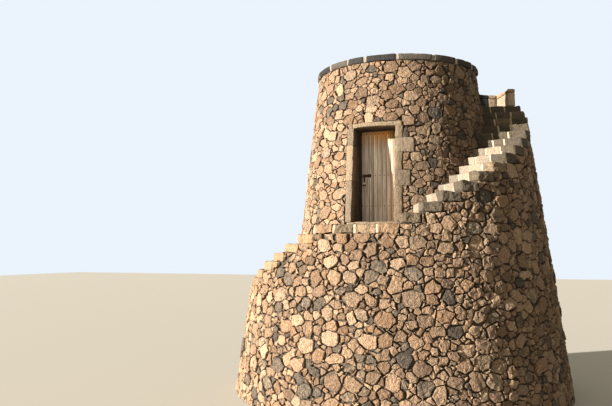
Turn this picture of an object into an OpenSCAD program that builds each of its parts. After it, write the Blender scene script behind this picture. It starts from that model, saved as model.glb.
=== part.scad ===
// Round battered rubble tower with an outside stair.
// The stair climbs round the drum from the ground at the back left to a landing
// in front of the doorway, and on round the right side to the roof terrace.
// Origin: the tower's axis at ground level. The doorway faces -Y, +Z is up.
// All lengths are in millimetres. Angles are in degrees about the axis, from the
// doorway's centre line, and grow towards +X.

/* [Tower] */
// Radius of the drum at ground level
drum_base_r = 2485; // [2400:5:2600]
// Radius that the drum loses for each unit of height
drum_batter = 0.1173; // [0.1:0.0001:0.13]
// Thickness of the drum's wall at the doorsill
wall_t = 840; // [820:5:880]
// Rise of the domed chamber ceiling above its springing
dome_rise_h = 190; // [120:5:230]
// Thickness of the masonry over the crown of the dome
crown_t = 150; // [100:5:200]

/* [Roof terrace] */
// Height of the parapet and its coping above the terrace
parapet_h = 698; // [600:2:1000]
// Thickness of the paving on the roof
paving_t = 77; // [50:1:90]
// Thickness of the parapet at its foot
parapet_t = 360; // [300:5:400]
// Thickness of the coping
coping_t = 120; // [80:1:160]
// Overhang of the coping beyond the parapet's faces
coping_overhang_w = 34; // [15:1:50]
// Width of the mortar joint between coping blocks
coping_joint_w = 12; // [6:1:20]
// Radius of the coping's rounded upper edges
coping_edge_r = 18; // [8:1:30]

/* [Stair] */
// Width of the stair's masonry beyond the drum at ground level
stair_w = 985; // [880:5:1100]
// Radius that the stair's masonry loses for each unit of height
mass_batter = 0.1354; // [0.12:0.0001:0.15]
// Height of the landing in front of the doorway
landing_h = 3389; // [3200:1:3500]
// Risers from the ground to the landing
lower_risers = 20; // [18:1:21]
// Angle between two risers of the lower flight
lower_going_angle = 6.95; // [6.5:0.05:7.2]
// Angle from the doorway's centre line to the left end of the landing
landing_left_angle = 16.17; // [14:0.01:20]
// Angle from the doorway's centre line to the right end of the landing
landing_right_angle = 14.45; // [13:0.01:18]
// Risers from the landing to the stair head
upper_risers = 14; // [13:1:14]
// Height of the stair head above the landing
upper_flight_h = 2678; // [2500:2:2850]
// Angle between two risers of the upper flight
upper_going_angle = 7.16; // [6.8:0.01:7.3]
// Angle that the platform at the stair head covers
head_angle = 20; // [18:0.5:24]
// Thickness of the mortar bed under each step
bed_t = 8; // [5:1:14]

/* [Stair head] */
// Height of the guard round the stair head
guard_h = 405; // [300:5:450]
// Step down from the guard's top to the top of its first stone
guard_drop = 60; // [10:5:150]
// Angle that the guard's first stone covers
guard_first_a = 4.5; // [3:0.5:7]
// Thickness of the guard
guard_t = 150; // [120:5:200]
// Distance from the outer face of the stair in to the guard
guard_edge_w = 90; // [60:5:120]
// Angle that the way through the parapet covers
gap_angle = 24; // [16:0.5:25]
// Angle from the start of that way on to the last riser
gap_before_riser_a = 10; // [7:0.1:10.2]

/* [Doorway] */
// Width of the doorway between the jamb stones
door_w = 832; // [780:2:880]
// Height of the doorway from the sill to the lintel
door_h = 1855; // [1780:5:1890]
// Height of the doorsill above the landing
sill_rise = 76; // [60:1:110]
// Height of the lintel
lintel_h = 90; // [80:1:105]
// Length of the lintel that bears on the left jamb
lintel_left = 22; // [15:1:60]
// Length of the lintel that bears on the right jamb
lintel_right = 112; // [60:1:130]
// Distance that the dressed stones stand proud of the rubble's mean face
dressed_proud = 20; // [5:1:30]
// Distance from the front of the sill to the back of the jamb stones
jamb_depth = 560; // [400:5:620]
// Distance from the front of the sill to the rebate that the door shuts against
door_setback = 755; // [700:5:770]
// Extra width of the recess behind the rebate on each side
recess_side = 104; // [95:1:115]
// Extra height of the recess behind the rebate
recess_top = 110; // [95:1:120]
// Widths of the left jamb's stones, from the sill up
left_jamb_w = [135, 150, 138];
// Height of each joint of the left jamb above the sill
left_jamb_z = [808, 1515];
// Widths of the right jamb's stones, from the sill up
right_jamb_w = [150, 290, 140, 345, 132];
// Height of each joint of the right jamb above the sill
right_jamb_z = [683, 988, 1333, 1618];

/* [Door] */
// Width that the door laps behind the doorway on each side and at the top
door_lap = 35; // [25:1:45]
// Extra height of the door above the lintel's underside
door_over = 60; // [40:1:75]
// Number of planks
planks = 10; // [8:1:12]
// Thickness of the planks
plank_t = 38; // [30:1:42]
// Gap between two planks
plank_gap = 2; // [1:0.5:3]
// Gap between the door and the rebate
rebate_gap = 8; // [6:1:10]
// Gap under the door
foot_gap = 8; // [6:1:12]
// Height of each ledge across the back of the planks
ledge_h = 110; // [90:5:130]
// Thickness of the ledges
ledge_t = 30; // [24:1:34]
// Height of the lowest ledge's middle above the sill
low_ledge_h = 350; // [300:5:385]
// Height of the middle ledge and of the bolt above the sill
mid_ledge_h = 965; // [900:1:1100]
// Distance from the lintel's underside down to the top ledge's middle
top_ledge_h = 60; // [10:2:76]
// Height of the rail across the front of the door, from the lintel's underside down
head_rail_h = 66; // [40:1:90]
// Thickness of the rail across the front of the door
head_rail_t = 14; // [10:1:18]
// Height of the lower strap hinge's middle above the sill
low_strap_h = 480; // [460:5:560]
// Distance from the lintel's underside down to the upper strap hinge's middle
top_strap_h = 165; // [150:5:260]
// Length of each strap hinge
strap_l = 620; // [450:10:700]
// Height of each strap hinge
strap_h = 45; // [36:1:50]
// Thickness of the strap hinges
strap_t = 6; // [4:0.5:8]
// Outer radius of the strap hinge's eye
eye_r = 13; // [12:0.5:15]
// Radius of the pintle's pin
pin_r = 6.5; // [5:0.1:7]
// Distance from the door's edge to the pintle's axis
pin_out = 6; // [4:0.5:10]

/* [Door fastenings] */
// Length of the bolt
bolt_l = 176; // [150:1:200]
// Radius of the bolt
bolt_r = 8; // [6:0.5:9]
// Distance from the edge of the doorway to the end of the bolt
bolt_clear_w = 10; // [8:1:20]
// Length of the hasp that hangs from the bolt
hasp_l = 140; // [110:1:150]
// Width of the padlock's body
lock_w = 58; // [46:1:64]
// Height of the padlock's body
lock_h = 56; // [38:1:60]
// Thickness of the padlock's body
lock_t = 20; // [16:1:22]
// Radius of the keyhole in the planks
keyhole_r = 9; // [6:0.5:12]
// Height of the keyhole above the sill
keyhole_h = 650; // [600:5:720]
// Distance from the edge of the doorway to the keyhole
keyhole_in_w = 36; // [26:2:42]

/* [Hidden] */
$fn = 360;

// Fine gap that keeps neighbouring stones from sharing a face
seat = 0.3;
// Depth that a cutting shape runs past the face it cuts
past = 20;
// Step down from the sill to the chamber's floor
floor_drop = 20;

// Radii at a height
function drum_r(z) = drum_base_r - drum_batter * z;
function mass_r(z) = drum_base_r + stair_w - mass_batter * z;
// Point at a radius and an angle from the doorway's centre line
function at(r, a) = [r * sin(a), -r * cos(a)];

// Heights
lower_riser = landing_h / lower_risers;
sill_bed_z = landing_h + bed_t;
sill_z = landing_h + sill_rise;
floor_z = sill_z - floor_drop;
soffit_z = sill_z + door_h;
upper_riser = upper_flight_h / upper_risers;
head_z = landing_h + upper_flight_h;
roof_z = head_z - paving_t;
wall_top_z = roof_z - crown_t - dome_rise_h;
tower_h = head_z + parapet_h;
coping_z = tower_h - coping_t;

// Chamber and parapet
chamber_r = drum_r(sill_z) - wall_t;
terrace_r = drum_r(roof_z) - parapet_t;
gap_start = landing_right_angle + (upper_risers - 1) * upper_going_angle - gap_before_riser_a;
gap_end = gap_start + gap_angle;
far = 2 * mass_r(0);

// Sector of the whole tower between two angles and two heights
module wedge(a0, a1, z0, z1) {
    arc_steps = ceil((a1 - a0) / 45);
    translate([0, 0, z0])
        linear_extrude(z1 - z0)
            polygon(concat([[0, 0]], [for (i = [0:arc_steps]) at(far, a0 + (a1 - a0) * i / arc_steps)]));
}

// Box between two opposite corners
module block(low, high) {
    translate(low) cube(high - low);
}

// Battered drum between two heights, made wider all round by out
module drum_cone(z0, z1, out = 0) {
    translate([0, 0, z0])
        cylinder(h = z1 - z0, r1 = drum_r(z0) + out, r2 = drum_r(z1) + out);
}

// Ring of the drum between two heights, round a bore of radius r
module drum_ring(z0, z1, r) {
    difference() {
        drum_cone(z0, z1);
        translate([0, 0, z0 - past]) cylinder(h = z1 - z0 + 2 * past, r = r);
    }
}

// Masonry of the stair between two heights: a wider battered cone round the drum
module stair_ring(z0, z1) {
    difference() {
        translate([0, 0, z0]) cylinder(h = z1 - z0, r1 = mass_r(z0), r2 = mass_r(z1));
        drum_cone(z0 - past, z1 + past, seat);
    }
}

/* Stair: risers, goings and step blocks */

// Angle of riser i of the lower flight, counted from the ground; the last one is the landing's
function lower_a(i) = -landing_left_angle - (lower_risers - i) * lower_going_angle;
// Angle of riser i of the upper flight, counted from the landing
function upper_a(i) = landing_right_angle + (i - 1) * upper_going_angle;
function upper_end(i) = i < upper_risers ? upper_a(i + 1) : upper_a(i) + head_angle;
function upper_z(i) = landing_h + i * upper_riser;

lower_block_h = lower_riser - bed_t;
upper_block_h = upper_riser - bed_t;

// One piece of stair masonry: steps is a list of [start angle, end angle, top]
module stair_base(steps) {
    top = max([for (s = steps) s[2]]);
    color("peru")
        intersection() {
            stair_ring(0, top + past);
            union() for (s = steps) wedge(s[0], s[1], -past, s[2]);
        }
}

// Bases of a run of steps of the lower or the upper flight
function lower_run(i0, i1) =
    [for (i = [i0:i1]) [lower_a(i), lower_a(i + 1), i * lower_riser - lower_block_h]];
function upper_run(i0, i1) =
    [for (i = [i0:i1]) [upper_a(i), upper_end(i), upper_z(i) - upper_block_h]];

// Shares of each flight at which its masonry is parted, and the last step of each piece
lower_shares = [0.35, 0.65];
upper_shares = [0.36, 0.72];
lower_third = round(lower_risers * lower_shares[0]);
lower_two_thirds = round(lower_risers * lower_shares[1]);
upper_third = round(upper_risers * upper_shares[0]);
upper_two_thirds = round(upper_risers * upper_shares[1]);

module stair_base_back_left() stair_base(lower_run(2, lower_third));
module stair_base_left() stair_base(lower_run(lower_third + 1, lower_two_thirds));
module stair_base_front_left() stair_base(lower_run(lower_two_thirds + 1, lower_risers - 1));
module landing_base() stair_base([[-landing_left_angle, landing_right_angle, landing_h - lower_block_h]]);
module stair_base_front_right() stair_base(upper_run(1, upper_third));
module stair_base_right() stair_base(upper_run(upper_third + 1, upper_two_thirds));
module stair_base_back_right() stair_base(upper_run(upper_two_thirds + 1, upper_risers));

// One dressed block that covers the stair's full width between two angles
module step_block(a0, a1, bottom, top) {
    intersection() {
        stair_ring(bottom + seat, top);
        wedge(a0, a1, bottom - past, top + past);
    }
}

module lower_steps() {
    color("tan")
        for (i = [1:lower_risers - 1])
            step_block(lower_a(i), lower_a(i + 1),
                       i == 1 ? -seat : i * lower_riser - lower_block_h, i * lower_riser);
}

// Angle that one mortar joint covers on the landing
joint_a = 0.15;
landing_stones = 4;
landing_going = (landing_left_angle + landing_right_angle) / landing_stones;

module landing_slabs() {
    color("tan")
        for (i = [0:landing_stones - 1])
            step_block(-landing_left_angle + i * landing_going + joint_a,
                       -landing_left_angle + (i + 1) * landing_going - joint_a,
                       landing_h - lower_block_h, landing_h);
}

module upper_step(i) {
    step_block(upper_a(i), upper_a(i + 1), upper_z(i) - upper_block_h, upper_z(i));
}

module upper_steps() {
    color("tan") {
        // The first step is cut round the foot of the right jamb
        difference() {
            upper_step(1);
            intersection() {
                drum_cone(landing_h - past, upper_z(1) + past, dressed_proud + seat);
                jamb_box(right_jamb_w, right_jamb_z, 0, seat);
            }
        }
        for (i = [2:upper_risers - 1])
            upper_step(i);
        for (half = [0, 1])
            step_block(upper_a(upper_risers) + half * head_angle / 2 + half * joint_a,
                       upper_a(upper_risers) + (half + 1) * head_angle / 2,
                       head_z - upper_block_h, head_z);
    }
}

/* Stair head */

// Angle that the guard keeps from each end of the stair head, and that the wall across the end covers with it
guard_start_a = 0.6;
guard_end_a = 0.3;
end_wall_a = 3.4;
// Angles at which the stair head, the guard on it and the wall across its end start and end
head_start = upper_a(upper_risers);
head_end = head_start + head_angle;
guard_start = head_start + guard_start_a;
guard_end = head_end - guard_end_a;
end_wall_start = head_end - end_wall_a;

// Ring between two distances in from the stair's outer face at the stair head
module guard_ring(inner, outer, h) {
    difference() {
        translate([0, 0, head_z + seat]) cylinder(h = h, r = mass_r(head_z) - outer);
        translate([0, 0, head_z - past]) cylinder(h = h + 2 * past, r = mass_r(head_z) - inner);
    }
}

module stair_head_guard() {
    first_end = guard_start + guard_first_a;
    color("burlywood")
        intersection() {
            guard_ring(guard_edge_w + guard_t, guard_edge_w, guard_h);
            union() {
                wedge(guard_start, first_end, head_z, head_z + guard_h - guard_drop);
                wedge(first_end, guard_end, head_z, head_z + guard_h + past);
            }
        }
}

module stair_head_end_wall() {
    color("dimgray")
        intersection() {
            difference() {
                translate([0, 0, head_z + seat])
                    cylinder(h = guard_h, r = mass_r(head_z) - guard_edge_w - guard_t - seat);
                drum_cone(head_z - past, head_z + guard_h + past, seat);
            }
            wedge(end_wall_start, guard_end, head_z, head_z + guard_h + past);
        }
}

/* Drum */

module drum_base() {
    color("peru") drum_cone(0, sill_bed_z - seat);
}

module chamber_floor() {
    color("darkgray")
        translate([0, 0, sill_bed_z]) cylinder(h = floor_z - sill_bed_z, r = chamber_r - seat);
}

recess_w = door_w + 2 * recess_side;
recess_z = soffit_z + recess_top;
// Lengths of the sill and of the wall over the doorway that bear on the walls beside them
sill_bearing = 100;
over_bearing = 60;
sill_half = door_w / 2 + sill_bearing;
over_half = recess_w / 2 + over_bearing;
// Front of the sill and of the rebate, measured where the doorway's edge meets the wall
front_y = -sqrt(pow(drum_r(sill_z) + dressed_proud, 2) - pow(door_w / 2, 2));
jamb_back_y = front_y + jamb_depth;
rebate_y = front_y + door_setback;

// Space of the doorway and of the recess behind its rebate
module doorway() {
    block([-door_w / 2, -far, sill_z], [door_w / 2, rebate_y + past, soffit_z]);
    block([-recess_w / 2, rebate_y, sill_z], [recess_w / 2, 0, recess_z]);
}

// Stone i of a jamb, as a box on the +X side
module jamb_box(widths, joints, i, grow) {
    low = i == 0 ? sill_z : sill_z + joints[i - 1];
    high = i == len(widths) - 1 ? soffit_z : sill_z + joints[i];
    block([door_w / 2 - grow, -far, low + seat - grow],
          [door_w / 2 + widths[i] + grow, jamb_back_y + grow, high - seat + grow]);
}

module lintel_box(grow) {
    block([-door_w / 2 - lintel_left - grow, -far, soffit_z - grow],
          [door_w / 2 + lintel_right + grow, jamb_back_y + grow, soffit_z + lintel_h + grow]);
}

module sill_box(grow) {
    block([-sill_half - grow, -far, sill_bed_z - grow], [sill_half + grow, 0, sill_z + grow]);
}

// Hollows in the drum's wall for the doorway and its dressed stones
module door_pockets() {
    doorway();
    lintel_box(seat);
    sill_box(seat);
    for (i = [0:len(right_jamb_w) - 1]) jamb_box(right_jamb_w, right_jamb_z, i, seat);
    mirror([1, 0, 0])
        for (i = [0:len(left_jamb_w) - 1]) jamb_box(left_jamb_w, left_jamb_z, i, seat);
}

// Box that parts the wall over the doorway from the walls beside it
module over_door_box(grow) {
    block([-over_half - grow, -far, soffit_z - grow], [over_half + grow, 0, wall_top_z + past]);
}

// Box above the recess, from the rebate inwards
module recess_box(grow) {
    block([-far, rebate_y - grow, recess_z - past], [far, 0, wall_top_z + past]);
}

// Piece of the chamber's wall between two angles
module chamber_wall(a0, a1) {
    intersection() {
        drum_ring(sill_bed_z, wall_top_z, chamber_r);
        wedge(a0, a1, sill_bed_z - past, wall_top_z + past);
    }
}

// Angle at which the walls beside the doorway end
side_a = 62;
back_a = 128;

module wall_left_of_door() {
    color("sandybrown")
        difference() {
            chamber_wall(-side_a, 0);
            block([-door_w / 2, -far, sill_bed_z - past], [far, 0, wall_top_z + past]);
            door_pockets();
            over_door_box(seat);
        }
}

module wall_right_of_door() {
    color("sandybrown")
        difference() {
            chamber_wall(0, side_a);
            block([-far, -far, sill_bed_z - past], [door_w / 2, 0, wall_top_z + past]);
            door_pockets();
            over_door_box(seat);
        }
}

module wall_over_door() {
    color("sandybrown")
        difference() {
            intersection() {
                drum_ring(soffit_z + seat, wall_top_z, chamber_r);
                over_door_box(0);
            }
            door_pockets();
            recess_box(seat);
        }
}

// Slab on edge that carries the wall over the recess
module recess_lintel() {
    color("darkkhaki")
        intersection() {
            drum_ring(recess_z, wall_top_z, chamber_r);
            over_door_box(0);
            recess_box(0);
        }
}

module chamber_wall_left() {
    color("peru") chamber_wall(-back_a, -side_a);
}

module chamber_wall_right() {
    color("peru") chamber_wall(side_a, back_a);
}

module chamber_wall_back() {
    color("peru") chamber_wall(back_a, 360 - back_a);
}

// Radius of the sphere that the domed ceiling is cut from
dome_r = (pow(chamber_r, 2) + pow(dome_rise_h, 2)) / (2 * dome_rise_h);

module drum_head() {
    color("peru")
        difference() {
            drum_cone(wall_top_z + seat, roof_z - seat);
            intersection() {
                translate([0, 0, wall_top_z + dome_rise_h - dome_r]) sphere(r = dome_r);
                translate([0, 0, wall_top_z - past]) cylinder(h = dome_rise_h + 2 * past, r = chamber_r);
            }
        }
}

/* Roof terrace, parapet and coping */

module terrace_paving() {
    color("gray")
        translate([0, 0, roof_z]) cylinder(h = paving_t, r = terrace_r - seat);
}

// Angle that keeps the threshold clear of the parapet's ends
threshold_gap_a = 0.01;

module terrace_threshold() {
    color("tan")
        intersection() {
            drum_ring(roof_z, head_z, terrace_r);
            wedge(gap_start + threshold_gap_a, gap_end - threshold_gap_a, roof_z - past, head_z + past);
        }
}

module parapet(a0, a1) {
    color("peru")
        intersection() {
            drum_ring(roof_z, coping_z - seat, terrace_r);
            wedge(a0, a1, roof_z - past, coping_z + past);
        }
}

parapet_side = 45;

module parapet_front() parapet(-parapet_side, parapet_side);
module parapet_right() parapet(parapet_side, gap_start);
module parapet_back() parapet(gap_end, 360 - 3 * parapet_side);
module parapet_left() parapet(-3 * parapet_side, -parapet_side);

coping_r = drum_r(coping_z) + coping_overhang_w;
coping_inner_r = terrace_r - coping_overhang_w;

// Angles of the joints between coping blocks: those seen at the front, then even ones
coping_joints = [-37.5, -20.6, -7.3, 14.4, 38.6, 56.9, 75.9];
coping_joint_right = (coping_joints[len(coping_joints) - 1] + gap_start) / 2;
joints_behind = 10;
function joint_behind(i) = gap_end + (360 + coping_joints[0] - gap_end) * i / joints_behind;

module coping_profile() {
    coping_w = coping_r - coping_inner_r;
    translate([coping_inner_r, coping_z]) {
        square([coping_w, coping_t - coping_edge_r]);
        translate([coping_edge_r, 0]) square([coping_w - 2 * coping_edge_r, coping_t]);
        for (x = [coping_edge_r, coping_w - coping_edge_r])
            translate([x, coping_t - coping_edge_r]) circle(r = coping_edge_r);
    }
}

module coping_stones() {
    joints = concat(coping_joints, coping_joint_right, [for (i = [1:joints_behind - 1]) joint_behind(i)]);
    color("dimgray")
        difference() {
            rotate_extrude() coping_profile();
            wedge(gap_start, gap_end, coping_z - past, tower_h + past);
            for (a = joints)
                rotate([0, 0, a])
                    block([-coping_joint_w / 2, -far, coping_z - past],
                          [coping_joint_w / 2, 0, tower_h + past]);
        }
}

/* Dressed stones of the doorway */

// Stone cut to the drum's face, standing a little proud of it
module dressed(z0, z1) {
    color("darkkhaki")
        intersection() {
            difference() {
                drum_cone(z0, z1, dressed_proud);
                translate([0, 0, z0 - past]) cylinder(h = z1 - z0 + 2 * past, r = chamber_r + seat);
            }
            children();
        }
}

module left_jamb() {
    dressed(sill_z, soffit_z)
        mirror([1, 0, 0])
            for (i = [0:len(left_jamb_w) - 1]) jamb_box(left_jamb_w, left_jamb_z, i, 0);
}

module right_jamb() {
    dressed(sill_z, soffit_z)
        for (i = [0:len(right_jamb_w) - 1]) jamb_box(right_jamb_w, right_jamb_z, i, 0);
}

module lintel() {
    dressed(soffit_z, soffit_z + lintel_h) lintel_box(0);
}

module door_sill() {
    dressed(sill_bed_z, sill_z) sill_box(0);
}

/* Door */

leaf_y = rebate_y + rebate_gap;
leaf_back_y = leaf_y + plank_t;
leaf_half = door_w / 2 + door_lap;
leaf_low = sill_z + foot_gap;
leaf_top = soffit_z + door_over;
plank_w = (2 * leaf_half - (planks - 1) * plank_gap) / planks;
pin_x = leaf_half + pin_out;
pin_y = leaf_back_y + eye_r;
pin_gap = 0.4;
ledge_z = [sill_z + low_ledge_h, sill_z + mid_ledge_h, soffit_z - top_ledge_h];
strap_z = [sill_z + low_strap_h, soffit_z - top_strap_h];

module door_planks() {
    color("rosybrown")
        difference() {
            for (i = [0:planks - 1])
                translate([-leaf_half + i * (plank_w + plank_gap), leaf_y, leaf_low])
                    cube([plank_w, plank_t, leaf_top - leaf_low]);
            translate([-door_w / 2 + keyhole_in_w, leaf_y - past, sill_z + keyhole_h])
                rotate([-90, 0, 0]) cylinder(h = plank_t + 2 * past, r = keyhole_r);
        }
}

// Distances from the door's edges to the ends of the ledges
ledge_in_w = 25;
ledge_hinge_w = 70;
// Clearance between the rail on the front and the doorway
rail_clear_w = 12;

// Ledges across the back, and a rail under the lintel on the front
module door_ledges() {
    rail_half = door_w / 2 - rail_clear_w;
    color("saddlebrown") {
        for (z = ledge_z)
            block([-leaf_half + ledge_in_w, leaf_back_y + seat, z - ledge_h / 2],
                  [leaf_half - ledge_hinge_w, leaf_back_y + ledge_t, z + ledge_h / 2]);
        block([-rail_half, leaf_y - head_rail_t, soffit_z - head_rail_h],
              [rail_half, leaf_y - seat, soffit_z - rail_clear_w]);
    }
}

// Flat strap on the back of the planks, ending in an eye on the pintle
module strap_hinges() {
    color("black")
        for (z = strap_z)
            translate([0, 0, z - strap_h / 2])
                difference() {
                    union() {
                        block([pin_x - strap_l, leaf_back_y + seat, 0],
                              [pin_x, leaf_back_y + strap_t, strap_h]);
                        translate([pin_x, pin_y, 0]) cylinder(h = strap_h, r = eye_r - seat);
                    }
                    translate([pin_x, pin_y, -past]) cylinder(h = strap_h + 2 * past, r = pin_r + pin_gap);
                }
}

// Pintle: shank, wall plate and the length of pin that stands above the eye
shank_h = 16;
plate_t = 6;
plate_half_w = 25;
plate_half_h = 50;
pin_end_h = 6;

// Pin on a shank that stands off a plate on the side of the recess
module hinge_pintles() {
    color("black")
        for (z = strap_z)
            translate([0, 0, z - strap_h / 2 - pin_gap]) {
                translate([pin_x, pin_y, -shank_h / 2])
                    cylinder(h = strap_h + shank_h / 2 + pin_end_h, r = pin_r);
                translate([pin_x, pin_y, -shank_h]) cylinder(h = shank_h, r = shank_h / 2);
                block([pin_x, pin_y - shank_h / 2, -shank_h],
                      [recess_w / 2 - plate_t / 2, pin_y + shank_h / 2, 0]);
                block([recess_w / 2 - plate_t, pin_y - plate_half_w, -shank_h / 2 - plate_half_h],
                      [recess_w / 2 - seat, pin_y + plate_half_w, plate_half_h]);
            }
}

bolt_x = -door_w / 2 + bolt_clear_w;
bolt_z = sill_z + mid_ledge_h;
bolt_plate_t = 5;
bolt_plate_half = 26;
bolt_end_plate_w = 56;
bolt_end_plate_half = 36;
bolt_plate_y = leaf_y - bolt_plate_t;
// Depth that one piece of iron lies in another that it is forged to
weld = 1;
bolt_y = bolt_plate_y - bolt_r + weld;
// Keepers over the bolt: width, thickness and distance from the bolt's ends
keeper_w = 24;
keeper_t = 4;
keeper_in_w = 12;
// Hasp: middle, width, thickness and the block at its foot that bears on the planks
hasp_x = bolt_x + 38;
hasp_half = 16;
hasp_t = 5;
hasp_foot_h = 10;
hasp_low = bolt_z - bolt_r - hasp_l;
hasp_y = bolt_plate_y - hasp_t;
// Lug on the hasp, and the shackle that runs through it
lug_t = 8;
lug_l = 22;
lug_half_h = 14;
shackle_r = 3.5;
shackle_gap = 0.8;
shackle_y = hasp_y - 12;
shackle_z = hasp_low + 26;

// Draw bolt on its T-shaped plate with two keepers, and the hasp that hangs from it
module door_bolt() {
    color("dimgray") {
        block([bolt_x, bolt_plate_y, bolt_z - bolt_plate_half],
              [bolt_x + bolt_l, leaf_y - seat, bolt_z + bolt_plate_half]);
        block([bolt_x + bolt_l - bolt_end_plate_w, bolt_plate_y, bolt_z - bolt_end_plate_half],
              [bolt_x + bolt_l, leaf_y - seat, bolt_z + bolt_end_plate_half]);
        translate([bolt_x, bolt_y, bolt_z])
            rotate([0, 90, 0]) cylinder(h = bolt_l, r = bolt_r);
        for (x = [bolt_x + keeper_in_w, bolt_x + bolt_l - keeper_in_w - keeper_w])
            block([x, bolt_y - bolt_r - keeper_t, bolt_z - bolt_r - keeper_t],
                  [x + keeper_w, bolt_plate_y + weld, bolt_z + bolt_r + keeper_t]);
        difference() {
            union() {
                block([hasp_x - hasp_half, hasp_y, hasp_low],
                      [hasp_x + hasp_half, bolt_plate_y + weld, bolt_z]);
                block([hasp_x - lug_t / 2, hasp_y - lug_l, shackle_z - lug_half_h],
                      [hasp_x + lug_t / 2, bolt_plate_y, shackle_z + lug_half_h]);
            }
            translate([hasp_x - past, shackle_y, shackle_z])
                rotate([0, 90, 0]) cylinder(h = 2 * past, r = shackle_r + shackle_gap);
        }
        block([hasp_x - hasp_half, hasp_y, hasp_low],
              [hasp_x + hasp_half, leaf_y - seat, hasp_low + hasp_foot_h]);
    }
}

// Padlock: its shackle runs through the lug of the hasp and hangs square to the door
module padlock() {
    shackle_in_w = 12;
    leg_h = 8;
    leg_sunk = 10;
    bend_r = lock_w / 2 - shackle_in_w;
    bend_z = shackle_z - bend_r;
    body_top = bend_z - leg_h;
    color("gray") {
        block([hasp_x - lock_w / 2, shackle_y - lock_t / 2, body_top - lock_h],
              [hasp_x + lock_w / 2, shackle_y + lock_t / 2, body_top]);
        for (side = [-1, 1])
            translate([hasp_x + side * bend_r, shackle_y, body_top - leg_sunk])
                cylinder(h = leg_h + leg_sunk, r = shackle_r);
        translate([hasp_x, shackle_y, bend_z])
            intersection() {
                rotate([90, 0, 0]) rotate_extrude() translate([bend_r, 0]) circle(r = shackle_r, $fn = 32);
                block([-lock_w, -lock_t, 0], [lock_w, lock_t, lock_w]);
            }
    }
}

drum_base();
chamber_floor();
wall_left_of_door();
wall_right_of_door();
wall_over_door();
recess_lintel();
chamber_wall_left();
chamber_wall_right();
chamber_wall_back();
drum_head();
terrace_paving();
terrace_threshold();
parapet_front();
parapet_left();
parapet_right();
parapet_back();
coping_stones();
stair_base_back_left();
stair_base_left();
stair_base_front_left();
landing_base();
stair_base_front_right();
stair_base_right();
stair_base_back_right();
lower_steps();
landing_slabs();
upper_steps();
stair_head_guard();
stair_head_end_wall();
left_jamb();
right_jamb();
lintel();
door_sill();
hinge_pintles();
door_planks();
door_ledges();
strap_hinges();
door_bolt();
padlock();
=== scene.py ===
"""Looks of a round rubble tower with an outside stair: stonework, steps, coping, doorway and plank door."""

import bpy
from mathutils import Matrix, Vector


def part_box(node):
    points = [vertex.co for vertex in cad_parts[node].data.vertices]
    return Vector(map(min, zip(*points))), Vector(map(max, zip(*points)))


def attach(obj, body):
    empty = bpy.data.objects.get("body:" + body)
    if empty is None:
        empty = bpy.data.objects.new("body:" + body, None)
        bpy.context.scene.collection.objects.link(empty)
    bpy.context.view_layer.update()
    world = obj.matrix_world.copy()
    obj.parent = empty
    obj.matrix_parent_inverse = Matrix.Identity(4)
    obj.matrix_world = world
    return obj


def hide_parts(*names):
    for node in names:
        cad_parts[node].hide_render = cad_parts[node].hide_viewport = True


bl_info = {
    "name": "Round Rubble Tower",
    "version": (1, 0, 0),
    "blender": (4, 5, 0),
    "location": "3D View > Sidebar > Tower",
    "description": "Builds the stonework and the plank door of a round tower with an outside stair",
    "category": "Add Mesh",
}

import math

import bmesh
import bpy
import numpy as np
from mathutils import Vector, noise

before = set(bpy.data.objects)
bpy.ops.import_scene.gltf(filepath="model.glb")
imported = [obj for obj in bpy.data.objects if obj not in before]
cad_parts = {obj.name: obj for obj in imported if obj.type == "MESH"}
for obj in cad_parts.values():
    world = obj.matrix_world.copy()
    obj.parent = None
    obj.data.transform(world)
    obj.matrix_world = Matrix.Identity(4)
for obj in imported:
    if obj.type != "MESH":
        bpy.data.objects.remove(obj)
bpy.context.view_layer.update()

MM = 0.001
TURN = 2 * math.pi
# Multiples of this share spread well between 0 and 1
GOLDEN = 0.618

# noise_vector starts from the clock unless it is given a seed
noise.seed_set(5)


# Measuring the frame


def polar(radius, angle, z):
    """The frame's point at a radius, an angle from the doorway's centre line and a height."""
    return Vector((radius * math.sin(angle), -radius * math.cos(angle), z))


def within_half_turn(angle):
    """The same direction as an angle between half a turn back and half a turn on."""
    return (angle + math.pi) % TURN - math.pi


def merged_copy(name):
    """A CAD node's mesh as a bmesh with its doubled corners merged."""
    mesh = bmesh.new()
    mesh.from_mesh(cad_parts[name].data)
    bmesh.ops.remove_doubles(mesh, verts=mesh.verts, dist=0.01 * MM)
    mesh.verts.ensure_lookup_table()
    return mesh


def solids(name):
    """The corners of each separate solid of a CAD node, one array for each solid."""
    mesh = merged_copy(name)
    seen = set()
    found = []
    for first in mesh.verts:
        if first.index in seen:
            continue
        seen.add(first.index)
        waiting = [first]
        corners = []
        while waiting:
            corner = waiting.pop()
            corners.append(corner.co[:])
            for edge in corner.link_edges:
                other = edge.other_vert(corner)
                if other.index not in seen:
                    seen.add(other.index)
                    waiting.append(other)
        found.append(np.array(corners))
    mesh.free()
    return found


def sector(corners):
    """What a solid covers: (first angle, last angle, bottom, top, inner radius, outer radius)."""
    angle = np.arctan2(corners[:, 0], -corners[:, 1])
    middle = math.atan2(corners[:, 0].mean(), -corners[:, 1].mean())
    turn = within_half_turn(angle - middle)
    radius = np.hypot(corners[:, 0], corners[:, 1])
    z = corners[:, 2]
    return middle + turn.min(), middle + turn.max(), z.min(), z.max(), radius.min(), radius.max()


def sectors(name):
    """The sectors of a node's solids, in order of angle."""
    return sorted(sector(corners) for corners in solids(name))


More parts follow.
